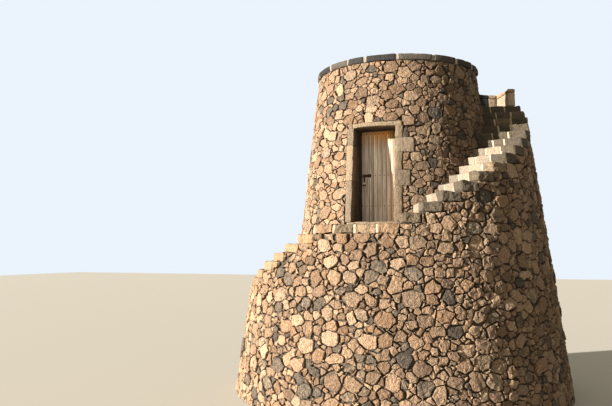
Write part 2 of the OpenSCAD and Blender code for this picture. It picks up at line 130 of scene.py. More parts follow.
def cone_of(name):
    """Radius at ground level, and radius lost for each metre of height, of a node's outer face."""
    corners = np.concatenate(solids(name))
    radius = np.hypot(corners[:, 0], corners[:, 1])
    low, high = corners[:, 2].min(), corners[:, 2].max()
    foot = radius[corners[:, 2] < low + MM].max()
    top = radius[corners[:, 2] > high - MM].max()
    batter = (foot - top) / (high - low)
    return foot + batter * low, batter


DRUM_FOOT, DRUM_BATTER = cone_of("drum_base")
MASS_FOOT, MASS_BATTER = cone_of("landing_base")
LOWER_STEPS = sectors("lower_steps")
LANDING = sectors("landing_slabs")
UPPER_STEPS = sectors("upper_steps")
COPING = sectors("coping_stones")
THRESHOLD = sectors("terrace_threshold")[0]
COPING_Z = COPING[0][2]
TOP_Z = COPING[0][3]
HEAD_Z = THRESHOLD[3]
TREADS = LOWER_STEPS + LANDING + UPPER_STEPS


def drum_radius(z):
    return DRUM_FOOT - DRUM_BATTER * z


def mass_radius(z):
    return MASS_FOOT - MASS_BATTER * z


def tread_height(angle):
    """Height of the stair's top at an angle, or 0 where the drum stands bare."""
    for first, last, _, top, _, _ in TREADS:
        middle = (first + last) / 2
        if abs(within_half_turn(angle - middle)) <= (last - first) / 2 + 2 * MM:
            return top
    return 0.0


# Faces of walls that stones are laid out on


class RoundFace:
    """A round wall face, laid out by angle and height. side is 1 for an outer face and -1 for an inner one.

    Lengths along the wall are divided by stretch while stones are laid out, so that stones come out longer
    than they are high.
    """

    edge = None

    def __init__(self, foot, batter, side=1, stretch=1.0):
        self.foot = foot
        self.batter = batter
        self.side = side
        self.stretch = stretch
        self.slope = math.hypot(1, batter)

    def radius(self, z):
        return self.foot - self.batter * z

    def steps(self, start, ends):
        """Vectors along the face, in metres, from one layout point to many."""
        turn = within_half_turn(ends[:, 0] - start[0])
        middle = self.radius((ends[:, 1] + start[1]) / 2) / self.stretch
        return np.stack([turn * middle, (ends[:, 1] - start[1]) * self.slope], 1)

    def sides(self, start, block):
        """How far a layout point lies beyond each pair of a block's sides, and on which side."""
        angle = within_half_turn(start[0] - (block[0] + block[1]) / 2)
        beyond = (abs(angle) - (block[1] - block[0]) / 2) * self.radius(start[1]) / self.stretch
        rise = start[1] - (block[2] + block[3]) / 2
        above = (abs(rise) - (block[3] - block[2]) / 2) * self.slope
        return beyond, math.copysign(1, angle), above, math.copysign(1, rise)

    def layout(self, start, step):
        """The layout point that lies a step along the face from another one."""
        z = start[1] + step[1] / self.slope
        return start[0] + step[0] * self.stretch / self.radius(z), z

    def place(self, start, step, out):
        """The frame's point that lies a step along the face from a layout point, and out from the face."""
        angle, z = self.layout(start, step)
        radius = self.radius(z) + self.side * out / self.slope
        return polar(radius, angle, z + out * self.batter / self.slope)


class UprightFace:
    """A flat upright face along a radius, laid out by radius and height, out to a battered edge."""

    def __init__(self, angle, side, edge):
        self.angle = angle
        self.side = side
        self.edge = edge

    def steps(self, start, ends):
        return ends - start

    def sides(self, start, block):
        along = start[0] - (block[0] + block[1]) / 2
        rise = start[1] - (block[2] + block[3]) / 2
        beyond = abs(along) - (block[1] - block[0]) / 2
        above = abs(rise) - (block[3] - block[2]) / 2
        return beyond, math.copysign(1, along), above, math.copysign(1, rise)

    def layout(self, start, step):
        return start[0] + step[0], start[1] + step[1]

    def place(self, start, step, out):
        radius, z = self.layout(start, step)
        sine, cosine = math.sin(self.angle), math.cos(self.angle)
        off = self.side * out
        return Vector((radius * sine + off * cosine, -radius * cosine + off * sine, z))


class LevelFace(UprightFace):
    """A level floor, laid out by x and y."""

    edge = None

    def __init__(self, z):
        self.z = z

    def place(self, start, step, out):
        return Vector((*self.layout(start, step), self.z + out))


# Blocks that no stone is laid on are given as (first angle, last angle, bottom, top)


def band(bottom, top):
    """A block that goes all the way round between two heights."""
    return -10, 10, bottom, top


GROUND = band(-1, 0)


# Laying out rubble


# How near two stones' centres may come, as a share of their radii together
PACKING = 0.8
# Stones from this radius on have cut corners
ROUNDED = 60 * MM
# The radius of stone that a wall's relief is given for
USUAL = 90 * MM


def scatter(face, area, inside, grades, chance):
    """Centres and radii of stones that keep apart; each grade is (radius, tries), the biggest first."""
    most = sum(tries for _, tries in grades)
    centres = np.zeros((most, 2))
    radii = np.zeros(most)
    count = 0
    for grade, tries in grades:
        spots = chance.uniform((area[0], area[2]), (area[1], area[3]), (tries, 2))
        spreads = grade * chance.uniform(0.86, 1.16, tries)
        for spot, radius in zip(spots, spreads):
            if not inside(spot[0], spot[1], radius):
                continue
            away = face.steps(spot, centres[:count])
            clear = PACKING * (radii[:count] + radius)
            if count and np.any(away[:, 0] ** 2 + away[:, 1] ** 2 < clear**2):
                continue
            centres[count] = spot
            radii[count] = radius
            count += 1
    return centres[:count], radii[:count]


def cut(outline, normal, reach):
    """The part of a convex outline that lies within reach along a normal."""
    kept = []
    lengths = [x * normal[0] + y * normal[1] - reach for x, y in outline]
    for k, (x, y) in enumerate(outline):
        here, before = lengths[k], lengths[k - 1]
        if (here < 0) != (before < 0):
            share = before / (before - here)
            px, py = outline[k - 1]
            kept.append((px + (x - px) * share, py + (y - py) * share))
        if here < 0:
            kept.append((x, y))
    return kept


def direction(turn):
    """The direction on a face that is turned from level."""
    return math.cos(turn), math.sin(turn)


def lie(stone):
    """The direction that a stone is longest in: near level for most of them."""
    return 1.1 * (2 * pair_chance(stone, stone + 0.5) - 1) ** 3 * math.pi / 2


def pair_chance(a, b):
    """A number from 0 to 1 that two stones share, whichever of them asks for it."""
    return (math.sin(min(a, b) * 12.9898 + max(a, b) * 78.233) * 43758.5453) % 1


def stone_outline(face, k, centres, radii, blocks, joint, square, blocky, chance):
    """The outline of stone k about its centre: its share of the face among its neighbours, less the joints.

    square turns the joints towards level and upright; 0 leaves them as they fall. Each stone is longer one
    way than the other, and each joint is turned a little, the same for both of its stones. Stones larger
    than blocky are four-sided, whatever their share is.
    """
    away = face.steps(centres[k], centres)
    far = np.hypot(away[:, 0], away[:, 1])
    reach = radii[k]
    # No outline reaches further than limit, and no stone further off than the near ones cuts it
    limit = 1.6 * reach + 120 * MM
    near = np.nonzero((far > 0) & (far < 2 * (reach + radii) + 80 * MM))[0]
    near = near[np.argsort(far[near])]
    corners = chance.integers(5, 8)
    start = chance.random()
    outline = [
        (limit * math.cos(TURN * (start + i / corners)), limit * math.sin(TURN * (start + i / corners)))
        for i in range(corners)
    ]
    if reach > blocky:
        for quarter in range(4):
            turn = lie(k) + (quarter + chance.uniform(-0.14, 0.14)) * math.pi / 2
            spread = reach * chance.uniform(0.92, 1.22) * (0.92 if quarter % 2 else 1.14)
            outline = cut(outline, direction(turn), spread)
    for n in near:
        distance = far[n]
        along = away[n] / distance
        own, other = (
            radii[stone] * (1 + 0.2 * math.cos(2 * (math.atan2(along[1], along[0]) - lie(stone))))
            for stone in (k, n)
        )
        share = (distance**2 + own**2 - other**2) / (2 * distance)
        share = min(max(share, 0.15 * distance), 0.85 * distance)
        gap = joint * chance.uniform(0.0, 1.2) ** 2
        # A small stone turns its joint with a big one less, or else it would cut far across the big one
        like = (min(own, other) / max(own, other)) ** 2
        normal = along * abs(along) ** (square * like)
        normal = direction(math.atan2(normal[1], normal[0]) + 0.5 * like * (pair_chance(k, n) - 0.5))
        outline = cut(outline, normal, share * (along[0] * normal[0] + along[1] * normal[1]) - gap)
        if len(outline) < 3:
            return []
    outline = trim(face, centres[k], outline, limit, blocks, joint)
    # A hammer takes a corner or two off most stones
    for _ in range(chance.integers(0, 3)):
        normal = direction(chance.uniform(0, TURN))
        furthest = max((x * normal[0] + y * normal[1] for x, y in outline), default=0)
        outline = cut(outline, normal, furthest * chance.uniform(0.68, 0.96))
    return outline


def trim(face, centre, outline, limit, blocks, joint):
    """The part of a stone's outline that lies clear of the blocks and of the face's battered edge."""
    for block in blocks:
        beyond, side, above, rise = face.sides(centre, block)
        if max(beyond, above) > limit:
            continue
        if beyond > above:
            outline = cut(outline, (-side, 0.0), beyond - joint / 2)
        else:
            outline = cut(outline, (0.0, -rise), above - joint / 2)
        if len(outline) < 3:
            return []
    if face.edge:
        foot, batter = face.edge
        slope = math.hypot(1, batter)
        room = (foot - batter * centre[1] - centre[0]) / slope - joint
        outline = cut(outline, (1 / slope, batter / slope), room)
    return outline


def sides_of(outline):
    """The outward directions of a convex outline's sides, and how far out each side lies."""
    ends = np.array(outline)
    along = np.roll(ends, -1, 0) - ends
    lengths = np.maximum(np.hypot(along[:, 0], along[:, 1]), 1e-9)
    out = np.stack([along[:, 1], -along[:, 0]], 1) / lengths[:, None]
    return out, (out * ends).sum(1)


def pin_gaps(face, inside, blocks, stones, least, joint, chance):
    """Adds pinning stones to the gaps at the corners of laid ones. A stone is (centre, radius, outline)."""
    spots = []
    for centre, _, outline in stones:
        for corner in outline:
            off = np.array(corner) * (1 + chance.uniform(0.3, 2) * least / math.hypot(*corner))
            spots.append(face.layout(centre, off))
    count = len(stones)
    centres = np.zeros((count + len(spots), 2))
    centres[:count] = [centre for centre, _, _ in stones]
    reaches = np.zeros(count + len(spots))
    reaches[:count] = [max(math.hypot(*corner) for corner in outline) for _, _, outline in stones]
    sides = [sides_of(outline) for _, _, outline in stones]
    for spot in spots:
        if not inside(spot[0], spot[1], least):
            continue
        away = face.steps(spot, centres[:count])
        room = 4 * least
        for n in np.nonzero((abs(away) < reaches[:count, None] + room).all(1))[0]:
            out, reach = sides[n]
            room = min(room, (-out @ away[n] - reach).max())
            if room < least:
                break
        if room < least:
            continue
        corners = chance.integers(4, 7)
        turns = TURN * (chance.random() + (np.arange(corners) + chance.uniform(0, 0.5, corners)) / corners)
        spread = room * chance.uniform(0.95, 1.3, corners)
        outline = list(zip(spread * np.cos(turns), spread * np.sin(turns)))
        outline = trim(face, spot, outline, 2 * room, blocks, joint)
        if len(outline) > 2:
            stones.append((spot, room, outline))
            sides.append(sides_of(outline))
            centres[count] = spot
            reaches[count] = 1.3 * room
            count += 1


def outline_area(outline):
    """The area inside an outline whose corners run anticlockwise."""
    return sum(a[0] * b[1] - b[0] * a[1] for a, b in zip(outline, outline[1:] + outline[:1])) / 2


def soften(outline, corner, rounded, chance):
    """An outline with its corners cut where rounded is true, and a wandering point on each long side."""
    span, wander = 90 * MM, 12 * MM
    clean = [p for k, p in enumerate(outline) if math.dist(p, outline[k - 1]) > 6 * MM]
    soft = []
    for k, (x, y) in enumerate(clean):
        ends = []
        lengths = []
        for nx, ny in (clean[k - 1], clean[(k + 1) % len(clean)]):
            length = math.dist((x, y), (nx, ny))
            lengths.append(length)
            back = min(corner * chance.uniform(0.5, 1.5), 0.4 * length)
            ends.append((x + (nx - x) / length * back, y + (ny - y) / length * back))
        soft += ends if rounded else [(x, y)]
        if lengths[1] > span:
            nx, ny = clean[(k + 1) % len(clean)]
            share = chance.uniform(0.4, 0.6)
            inward = wander * chance.uniform(0, 1) / lengths[1]
            soft.append((x + (nx - x) * share - (ny - y) * inward, y + (ny - y) * share + (nx - x) * inward))
    return soft


def store(mesh, title, values):
    """Gives the corners of a mesh a value each, or a vector each where values has three columns."""
    values = np.ascontiguousarray(values, np.float32)
    kind, key = ("FLOAT", "value") if values.ndim == 1 else ("FLOAT_VECTOR", "vector")
    mesh.attributes.new(title, kind, "POINT").data.foreach_set(key, values.ravel())


class Laid:
    """Outlines of stones laid on a face, gathered as one mesh that carries each stone's own values."""

    def __init__(self):
        self.corners = []
        self.outlines = []
        self.values = []

    def lay(self, face, centre, outline, radius, sunk, proud, lean, chance):
        """Adds a stone whose outline lies sunk behind the face, with its own tones, rise and tilt."""
        middle = face.place(centre, (0, 0), 0)
        outward = (face.place(centre, (0, 0), 1) - middle).normalized()
        first = len(self.corners)
        points = [face.place(centre, step, -sunk) for step in outline]
        spokes = [p - middle for p in points]
        around = sum((a.cross(b) for a, b in zip(spokes, spokes[1:] + spokes[:1])), Vector())
        if around.dot(outward) < 0:
            points.reverse()
        self.corners += points
        self.outlines.append(range(first, first + len(points)))
        along = Vector((outward.y, -outward.x, 0.0001)).normalized()
        up = outward.cross(along)
        tilt = along * chance.normal(0, lean) + up * chance.normal(0, lean)
        rise = proud * min(max(chance.normal(), -1.2), 1.8)
        value = (chance.random(), chance.random(), radius, rise, *middle, *outward, *tilt)
        self.values += [value] * len(points)

    def mesh(self):
        made = bpy.data.meshes.new("stones")
        made.from_pydata([tuple(p) for p in self.corners], [], [list(o) for o in self.outlines])
        values = np.array(self.values, np.float32)
        for column, title in enumerate(("tone", "shade", "reach", "proud")):
            store(made, title, values[:, column])
        for column, title in ((4, "middle"), (7, "outward"), (10, "tilt")):
            store(made, title, values[:, column:column + 3])
        return made


def lay_rubble(face, area, inside, blocks, grades, joint, corner, chance, sunk, parts=1, proud=8 * MM,
               lean=0.05, square=0.3, blocky=1.0, pin=0):
    """Stones laid over an area of a face, gathered in parts by their place along the face.

    inside says whether a stone may lie at a layout point, and blocks are kept clear. corner is how much is
    cut off the corners, sunk how deep the outlines lie, proud how much the faces differ in height and lean
    how much they tilt. pin is the least radius of the pinning stones in the gaps, or 0 for none.
    """
    centres, radii = scatter(face, area, inside, grades, chance)
    for last_time in (False, True):
        outlines = [stone_outline(face, k, centres, radii, blocks, joint, square, blocky, chance)
                    for k in range(len(centres))]
        # The least area of a stone's outline, as a share of its radius squared
        least = 0.12 if last_time else 0.35
        held = [len(outline) > 2 and outline_area(outline) > least * radius**2
                for outline, radius in zip(outlines, radii)]
        # Neighbours take the place of a stone that has found no room
        if not last_time:
            centres, radii = centres[held], radii[held]
    stones = [stone for stone, holds in zip(zip(centres, radii, outlines), held) if holds]
    if pin:
        pin_gaps(face, inside, blocks, stones, pin, joint, chance)
    laid = [Laid() for _ in range(parts)]
    for centre, radius, outline in stones:
        outline = soften(outline, corner, radius > ROUNDED, chance)
        if len(outline) < 3:
            continue
        reach = math.sqrt(abs(outline_area(outline)) / math.pi)
        part = min(parts - 1, int((centre[0] - area[0]) / (area[1] - area[0]) * parts))
        laid[part].lay(face, centre, outline, reach, sunk, proud * reach / USUAL, lean, chance)
    return laid


# Nodes and materials


def linear(code):
    """An sRGB hex colour, such as "#C9A27C", as linear red, green, blue and alpha."""
    parts = [int(code[i:i + 2], 16) / 255 for i in (1, 3, 5)]
    return (*[p / 12.92 if p <= 0.04045 else ((p + 0.055) / 1.055) ** 2.4 for p in parts], 1.0)


def add(tree, kind, inputs=None, stops=(), **settings):
    """Adds a node with its settings and links, and returns the first of its outputs that is in use.

    inputs gives each input a value or the socket that feeds it, and stops a ramp's places and colours.
    """
    made = tree.nodes.new(kind)
    for key, value in settings.items():
        setattr(made, key, value)
    for key, value in (inputs or {}).items():
        if isinstance(value, bpy.types.NodeSocket):
            tree.links.new(value, made.inputs[key])
        else:
            made.inputs[key].default_value = value
    points = made.color_ramp.elements if stops else ()
    while len(points) < len(stops):
        points.new(0.5)
    for point, (place, code) in zip(points, stops):
        point.position = place
        point.color = linear(code)
    return next((socket for socket in made.outputs if socket.enabled), None)


def new_material(name):
    """A material without nodes, its tree and its Object coordinates."""
    made = bpy.data.materials.new(name)
    made.use_nodes = True
    tree = made.node_tree
    tree.nodes.clear()
    return made, tree, add(tree, "ShaderNodeTexCoord").node.outputs["Object"]


def finish_material(tree, inputs, strength, distance, height):
    """Ends a material's tree with a bump, the shader with its inputs, and the output."""
    bump = add(tree, "ShaderNodeBump", {"Strength": strength, "Distance": distance, "Height": height})
    shader = add(tree, "ShaderNodeBsdfPrincipled", {**inputs, "Normal": bump})
    add(tree, "ShaderNodeOutputMaterial", {0: shader})


def painted_doorway_shade(tree, place, dark):
    """Painted shade: 1 on the drum's face, and dark deep in the doorway, except on its right side, which
    looks light.
    """
    across, _, height = add(tree, "ShaderNodeSeparateXYZ", {0: place}).node.outputs
    level = add(tree, "ShaderNodeVectorMath", {0: place, 1: (1.0, 1.0, 0.0)}, operation="MULTIPLY")
    reach = add(tree, "ShaderNodeVectorMath", {0: level}, operation="LENGTH")
    foot = add(tree, "ShaderNodeMath", {0: height, 1: DRUM_BATTER, 2: reach}, operation="MULTIPLY_ADD")
    deep = add(tree, "ShaderNodeMapRange",
               {0: foot, 1: DRUM_FOOT - 220 * MM, 2: DRUM_FOOT - 80 * MM, 3: dark, 4: 1.0})
    right = add(tree, "ShaderNodeMapRange", {0: across, 1: 320 * MM, 2: 400 * MM})
    return add(tree, "ShaderNodeMath", {0: deep, 1: right}, operation="MAXIMUM")


def stone_material(name, tones, speck, pit, grit=9, relief=1.0, crevice_dirt_and_shade="#4A3A2C", inside=1.0, right_shade=1.0):
    """Natural stone: each block takes its own tone, mottled, with pale grains and dark pits. grit is in mm.

    inside is how dark the painted shade deep in the doorway makes the stone, and the last argument how dark
    the painted shade on the tower's right side makes it.
    """
    made, tree, place = new_material(name)
    tone, shade, height = (
        add(tree, "ShaderNodeAttribute", attribute_name=title).node.outputs["Fac"]
        for title in ("tone", "shade", "height")
    )
    cloud = add(tree, "ShaderNodeTexNoise",
                {"Vector": place, "Scale": 14.0, "Detail": 5.0, "Roughness": 0.65})
    grain = add(tree, "ShaderNodeTexNoise",
                {"Vector": place, "Scale": 1 / (grit * MM) / 2, "Detail": 4.0, "Roughness": 0.65})
    pits = add(tree, "ShaderNodeTexVoronoi",
               {"Vector": place, "Scale": 1 / (grit * MM) / 2.2, "Randomness": 1.0})
    drift = add(tree, "ShaderNodeMath", {0: cloud, 1: 0.5}, operation="SUBTRACT")
    shift = add(tree, "ShaderNodeMath", {0: drift, 1: 0.28, 2: tone}, operation="MULTIPLY_ADD")
    body = add(tree, "ShaderNodeValToRGB", {0: shift}, tones)
    value = add(tree, "ShaderNodeMapRange", {0: shade, 3: 0.7, 4: 1.24})
    mottle = add(tree, "ShaderNodeMapRange", {0: grain, 1: 0.3, 2: 0.7, 3: 0.6, 4: 1.36})
    both = add(tree, "ShaderNodeMath", {0: value, 1: mottle}, operation="MULTIPLY")
    # Painted shade deep in the doorway, but not on its right side
    if inside < 1:
        both = add(tree, "ShaderNodeMath", {0: both, 1: painted_doorway_shade(tree, place, inside)}, operation="MULTIPLY")
    if right_shade < 1:
        # Painted light and shade: the stone is painted paler on the left, in two stretches, and darker on
        # the right.
        # Stain and light can't be told apart there, so the difference is set in the stone's own tone
        across = add(tree, "ShaderNodeSeparateXYZ", {0: place})
        for first, last, start, end in (
                (-2.3, -1.4, 1.15, 1.0), (-1.4, 0.2, 1.1, 1.0), (0.1, 0.8, 1.0, right_shade)):
            place_tone = add(tree, "ShaderNodeMapRange", {0: across, 1: first, 2: last, 3: start, 4: end})
            both = add(tree, "ShaderNodeMath", {0: both, 1: place_tone}, operation="MULTIPLY")
    shaded = add(tree, "ShaderNodeVectorMath", {0: body, 3: both}, operation="SCALE")
    pale = add(tree, "ShaderNodeMapRange", {0: grain, 1: 0.62, 2: 0.74, 3: 0.0, 4: 0.5})
    specked = add(tree, "ShaderNodeMix", {0: pale, 6: shaded, 7: linear(speck)}, data_type="RGBA")
    hole = add(tree, "ShaderNodeMapRange", {0: pits, 1: 0.12, 2: 0.3, 3: 0.6, 4: 0.0})
    pitted = add(tree, "ShaderNodeMix", {0: hole, 6: specked, 7: linear(pit)}, data_type="RGBA")
    # The stones' flanks deep in the joints are mixed towards a dark colour: dirt and painted shade
    deep = add(tree, "ShaderNodeMapRange", {0: height, 1: 0.0, 2: 0.9, 3: 0.75, 4: 0.0})
    final = add(tree, "ShaderNodeMix", {0: deep, 6: pitted, 7: linear(crevice_dirt_and_shade)}, data_type="RGBA")
    rough = add(tree, "ShaderNodeMath", {0: cloud, 1: 2.5, 2: grain}, operation="MULTIPLY_ADD")
    sunk = add(tree, "ShaderNodeMath", {0: hole, 1: -0.5, 2: rough}, operation="MULTIPLY_ADD")
    inputs = {"Base Color": final, "Roughness": 0.9, "Specular IOR Level": 0.3}
    finish_material(tree, inputs, strength=1.0, distance=14 * MM * relief, height=sunk)
    return made


def rubble_material(name="hammer_split_tuff", right_shade=0.88):
    """Volcanic tuff and basalt field stones, split by hammer: dull, tan to brown, a few grey or darker."""
    return stone_material(
        name,
        [(0.0, colours().tan), (0.28, colours().peach), (0.48, colours().brown), (0.62, colours().ochre),
         (0.82, colours().tan), (0.92, colours().grey), (1.0, colours().basalt)],
        speck="#B09A80", pit="#2A211A", grit=15, relief=2.6, crevice_dirt_and_shade="#382C20", right_shade=right_shade)


def drum_material():
    """The same field stones in the drum, painted darker still on the right side, as shade."""
    return rubble_material("stained_split_tuff", 0.7)


def step_material():
    """Dressed tuff of the steps, rubbed pale by feet, with rough ends; warm below, and dark above, where the
    drum's shade is painted in.
    """
    return stone_material(
        "worn_dressed_tuff",
        [(0.0, colours().step), (0.42, "#786B5B"), (0.55, "#86694E"), (0.7, "#7C6750"), (0.8, "#54493A"),
         (1.0, "#3F382E")],
        speck="#A39480", pit="#332A22", grit=11, relief=1.4)


def frame_material():
    """Sawn tuff round the doorway, evenly grey-tan, with painted shade deep in the doorway."""
    return stone_material(
        "sawn_tuff",
        [(0.0, "#7A6853"), (0.5, "#706150"), (1.0, "#67594A")],
        speck="#8F806C", pit="#362E26", grit=9, relief=1.2, inside=0.4)


def guard_material():
    """Tuff blocks of the stair head's guard, limewashed once: pale, with orange-brown cap stones."""
    return stone_material(
        "limewashed_tuff",
        [(0.0, "#9F8C77"), (0.4, "#8F7D69"), (0.7, "#8C6C50"), (1.0, "#7A5E44")],
        speck="#B0A08A", pit="#5A4A3A", grit=8, relief=0.6)


def coping_material():
    """Dressed basalt: dense dark grey-brown stone with fine pores."""
    return stone_material(
        "dressed_basalt",
        [(0.0, "#4A423A"), (0.5, colours().coping), (0.8, "#2B2724"), (1.0, "#1D1C1C")],
        speck="#5C534A", pit="#191614", grit=8, relief=0.8)


def paving_material():
    """Basalt flags of the terrace and the chamber, worn smooth: grey and fine-grained."""
    return stone_material(
        "basalt_flags",
        [(0.0, "#8C8175"), (0.5, "#7A6F64"), (1.0, "#675D54")],
        speck="#A89C8C", pit="#4A423A", grit=8, relief=0.6)


def mortar_material(name="lime_mortar", pale=None, dark=None):
    """Lime mortar with beach sand, thrown in by trowel and left rough: matt, sandy and uneven."""
    made, tree, place = new_material(name)
    patch = add(tree, "ShaderNodeTexNoise", {"Vector": place, "Scale": 3.5, "Detail": 5.0, "Roughness": 0.6})
    sand = add(tree, "ShaderNodeTexNoise",
               {"Vector": place, "Scale": 140.0, "Detail": 3.0, "Roughness": 0.7})
    colour = add(tree, "ShaderNodeValToRGB", {0: patch},
                 [(0.35, dark or colours().mortar_dark), (0.65, pale or colours().mortar)])
    value = add(tree, "ShaderNodeMapRange", {0: sand, 1: 0.3, 2: 0.7, 3: 0.8, 4: 1.15})
    # Painted shade deep in the doorway
    value = add(tree, "ShaderNodeMath", {0: value, 1: painted_doorway_shade(tree, place, 0.35)}, operation="MULTIPLY")
    shaded = add(tree, "ShaderNodeVectorMath", {0: colour, 3: value}, operation="SCALE")
    lumps = add(tree, "ShaderNodeTexNoise", {"Vector": place, "Scale": 28.0, "Detail": 4.0})
    both = add(tree, "ShaderNodeMath", {0: lumps, 1: 3.0, 2: sand}, operation="MULTIPLY_ADD")
    inputs = {"Base Color": shaded, "Roughness": 0.95}
    finish_material(tree, inputs, strength=0.9, distance=5 * MM, height=both)
    return made


def board_material(name="weathered_pine", along=(1.0, 1.0, 0.035), edges=True):
    """Weathered pine boards: grey-brown and open-grained, ochre where the lintel shelters the top, with
    painted light and shade.

    along scales the grain, small along the boards' length, and edges says whether they have darker edges.
    """
    made, tree, place = new_material(name)
    tone = add(tree, "ShaderNodeAttribute", attribute_name="tone").node.outputs["Fac"]
    offset = add(tree, "ShaderNodeCombineXYZ", {0: tone, 1: 0.0, 2: tone})
    moved = add(tree, "ShaderNodeVectorMath", {0: place, 1: offset}, operation="ADD")
    long_grain = add(tree, "ShaderNodeMapping", {"Vector": moved, "Scale": along})
    # Growth rings as lines some 4 mm apart
    grain = add(tree, "ShaderNodeTexNoise",
                {"Vector": long_grain, "Scale": 230.0, "Detail": 4.0, "Roughness": 0.6})
    streak = add(tree, "ShaderNodeTexNoise", {"Vector": long_grain, "Scale": 38.0, "Detail": 3.0})
    place_tone = add(tree, "ShaderNodeTexNoise", {"Vector": place, "Scale": 2.6, "Detail": 4.0})
    body = add(tree, "ShaderNodeValToRGB", {0: streak},
               [(0.3, "#A08C7C"), (0.5, colours().board), (0.68, "#E6D8CA")])
    across, _, height = add(tree, "ShaderNodeSeparateXYZ", {0: place}).node.outputs
    low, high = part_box("door_planks")
    # Ochre under the lintel, and again on the lower half near the hinges
    near_top = add(tree, "ShaderNodeMapRange",
                   {0: height, 1: high.z - 0.42, 2: high.z - 0.12, 3: 0.0, 4: 0.9})
    near_side = add(tree, "ShaderNodeMapRange",
                    {0: across, 1: high.x - 0.42, 2: high.x - 0.1, 3: 0.0, 4: 0.85})
    low_down = add(tree, "ShaderNodeMapRange", {0: height, 1: low.z + 0.9, 2: low.z + 0.2, 3: 0.6, 4: 1.0})
    corner = add(tree, "ShaderNodeMath", {0: near_side, 1: low_down}, operation="MULTIPLY")
    either = add(tree, "ShaderNodeMath", {0: near_top, 1: corner}, operation="MAXIMUM")
    uneven = add(tree, "ShaderNodeMapRange", {0: place_tone, 1: 0.35, 2: 0.65, 3: 0.65, 4: 1.1})
    share = add(tree, "ShaderNodeMath", {0: either, 1: uneven}, operation="MULTIPLY")
    warm = add(tree, "ShaderNodeMix", {0: share, 6: body, 7: linear(colours().board_top)}, data_type="RGBA")
    value = add(tree, "ShaderNodeMapRange", {0: tone, 3: 0.86, 4: 1.16})
    lines = add(tree, "ShaderNodeMapRange", {0: grain, 1: 0.35, 2: 0.65, 3: 0.72, 4: 1.14})
    # Each board is darker along its edges, beside the gaps, most on the left, and paler in a band next to
    # the left one
    boards = len(solids("door_planks"))
    board = add(tree, "ShaderNodeMapRange", {0: across, 1: low.x, 2: high.x, 3: 0.0, 4: float(boards)})
    part = add(tree, "ShaderNodeMath", {0: board}, operation="FRACT")
    edge = add(tree, "ShaderNodeValToRGB", {0: part},
               [(0.0, "#606060"), (0.1, "#8E8E8E"), (0.16, "#E4E4E4"), (0.34, "#E4E4E4"), (0.5, "#C4C4C4"),
                (0.93, "#C4C4C4"), (1.0, "#7C7C7C")])
    number = add(tree, "ShaderNodeMath", {0: board}, operation="FLOOR")
    luck = add(tree, "ShaderNodeTexWhiteNoise", {"W": number}, noise_dimensions="1D")
    amount = add(tree, "ShaderNodeMapRange", {0: luck, 3: 0.25, 4: 1.0}) if edges else 0.0
    edge = add(tree, "ShaderNodeMix", {0: amount, 6: linear("#C4C4C4"), 7: edge}, data_type="RGBA")
    both = add(tree, "ShaderNodeMath", {0: value, 1: lines}, operation="MULTIPLY")
    edged = add(tree, "ShaderNodeVectorMath", {0: warm, 1: edge}, operation="MULTIPLY")
    # Painted light and shade: the boards are painted about twice as bright, but the upper part near the
    # hinges, where the sun's strip falls, darker, and the top a quarter lighter
    sun_strip = add(tree, "ShaderNodeMapRange", {0: across, 1: high.x - 0.34, 2: high.x - 0.2})
    raised = add(tree, "ShaderNodeMapRange", {0: height, 1: low.z + 0.6, 2: low.z + 1.0})
    sun_strip = add(tree, "ShaderNodeMath", {0: sun_strip, 1: raised}, operation="MULTIPLY")
    less = add(tree, "ShaderNodeMapRange", {0: sun_strip, 3: 1.95, 4: 0.58})
    top_light = add(tree, "ShaderNodeMapRange", {0: height, 1: high.z - 0.3, 2: high.z - 0.1, 3: 1.0, 4: 1.25})
    for factor in (less, top_light):
        both = add(tree, "ShaderNodeMath", {0: both, 1: factor}, operation="MULTIPLY")
    shaded = add(tree, "ShaderNodeVectorMath", {0: edged, 3: both}, operation="SCALE")
    inputs = {"Base Color": shaded, "Roughness": 0.82}
    finish_material(tree, inputs, strength=0.7, distance=2 * MM, height=grain)
    return made


def iron_material(name="rusted_iron", clean="#352E29", rust="#5F3E2B", metallic=0.45, roughness=0.68,
                  dark_foot_box=None):
    """Forged iron left to the sea air: dark scale with patches of brown rust, half metal and half dull.

    The last argument is the box of a part whose lower end is black.
    """
    made, tree, place = new_material(name)
    patch = add(tree, "ShaderNodeTexNoise",
                {"Vector": place, "Scale": 45.0, "Detail": 5.0, "Roughness": 0.65})
    colour = add(tree, "ShaderNodeValToRGB", {0: patch}, [(0.42, clean), (0.6, rust)])
    if dark_foot_box:
        height = add(tree, "ShaderNodeSeparateXYZ", {0: place}).node.outputs[2]
        low, high = dark_foot_box[0].z, dark_foot_box[1].z
        above = add(tree, "ShaderNodeMapRange",
                    {0: height, 1: low + 0.3 * (high - low), 2: low + 0.4 * (high - low)})
        colour = add(tree, "ShaderNodeMix", {0: above, 6: linear("#1E1A16"), 7: colour}, data_type="RGBA")
    inputs = {"Base Color": colour, "Metallic": metallic, "Roughness": roughness}
    finish_material(tree, inputs, strength=0.5, distance=1 * MM, height=patch)
    return made


# Building meshes


def link(name, data):
    """A new object in the scene for a mesh, a lamp or a camera."""
    made = bpy.data.objects.new(name, data)
    bpy.context.scene.collection.objects.link(made)
    return made


def finish_piece(name, mesh, material, replaced=(), body="tower"):
    """Links a finished mesh with its material as a piece that rides on its body and stands for CAD nodes."""
    mesh.name = name
    mesh.materials.clear()
    mesh.materials.append(material)
    piece = link(name, mesh)
    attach(piece, body)
    if replaced:
        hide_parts(*replaced)


def plain_mesh(built):
    """A bmesh as a mesh; the bmesh is freed."""
    made = bpy.data.meshes.new("part")
    built.to_mesh(made)
    built.free()
    return made


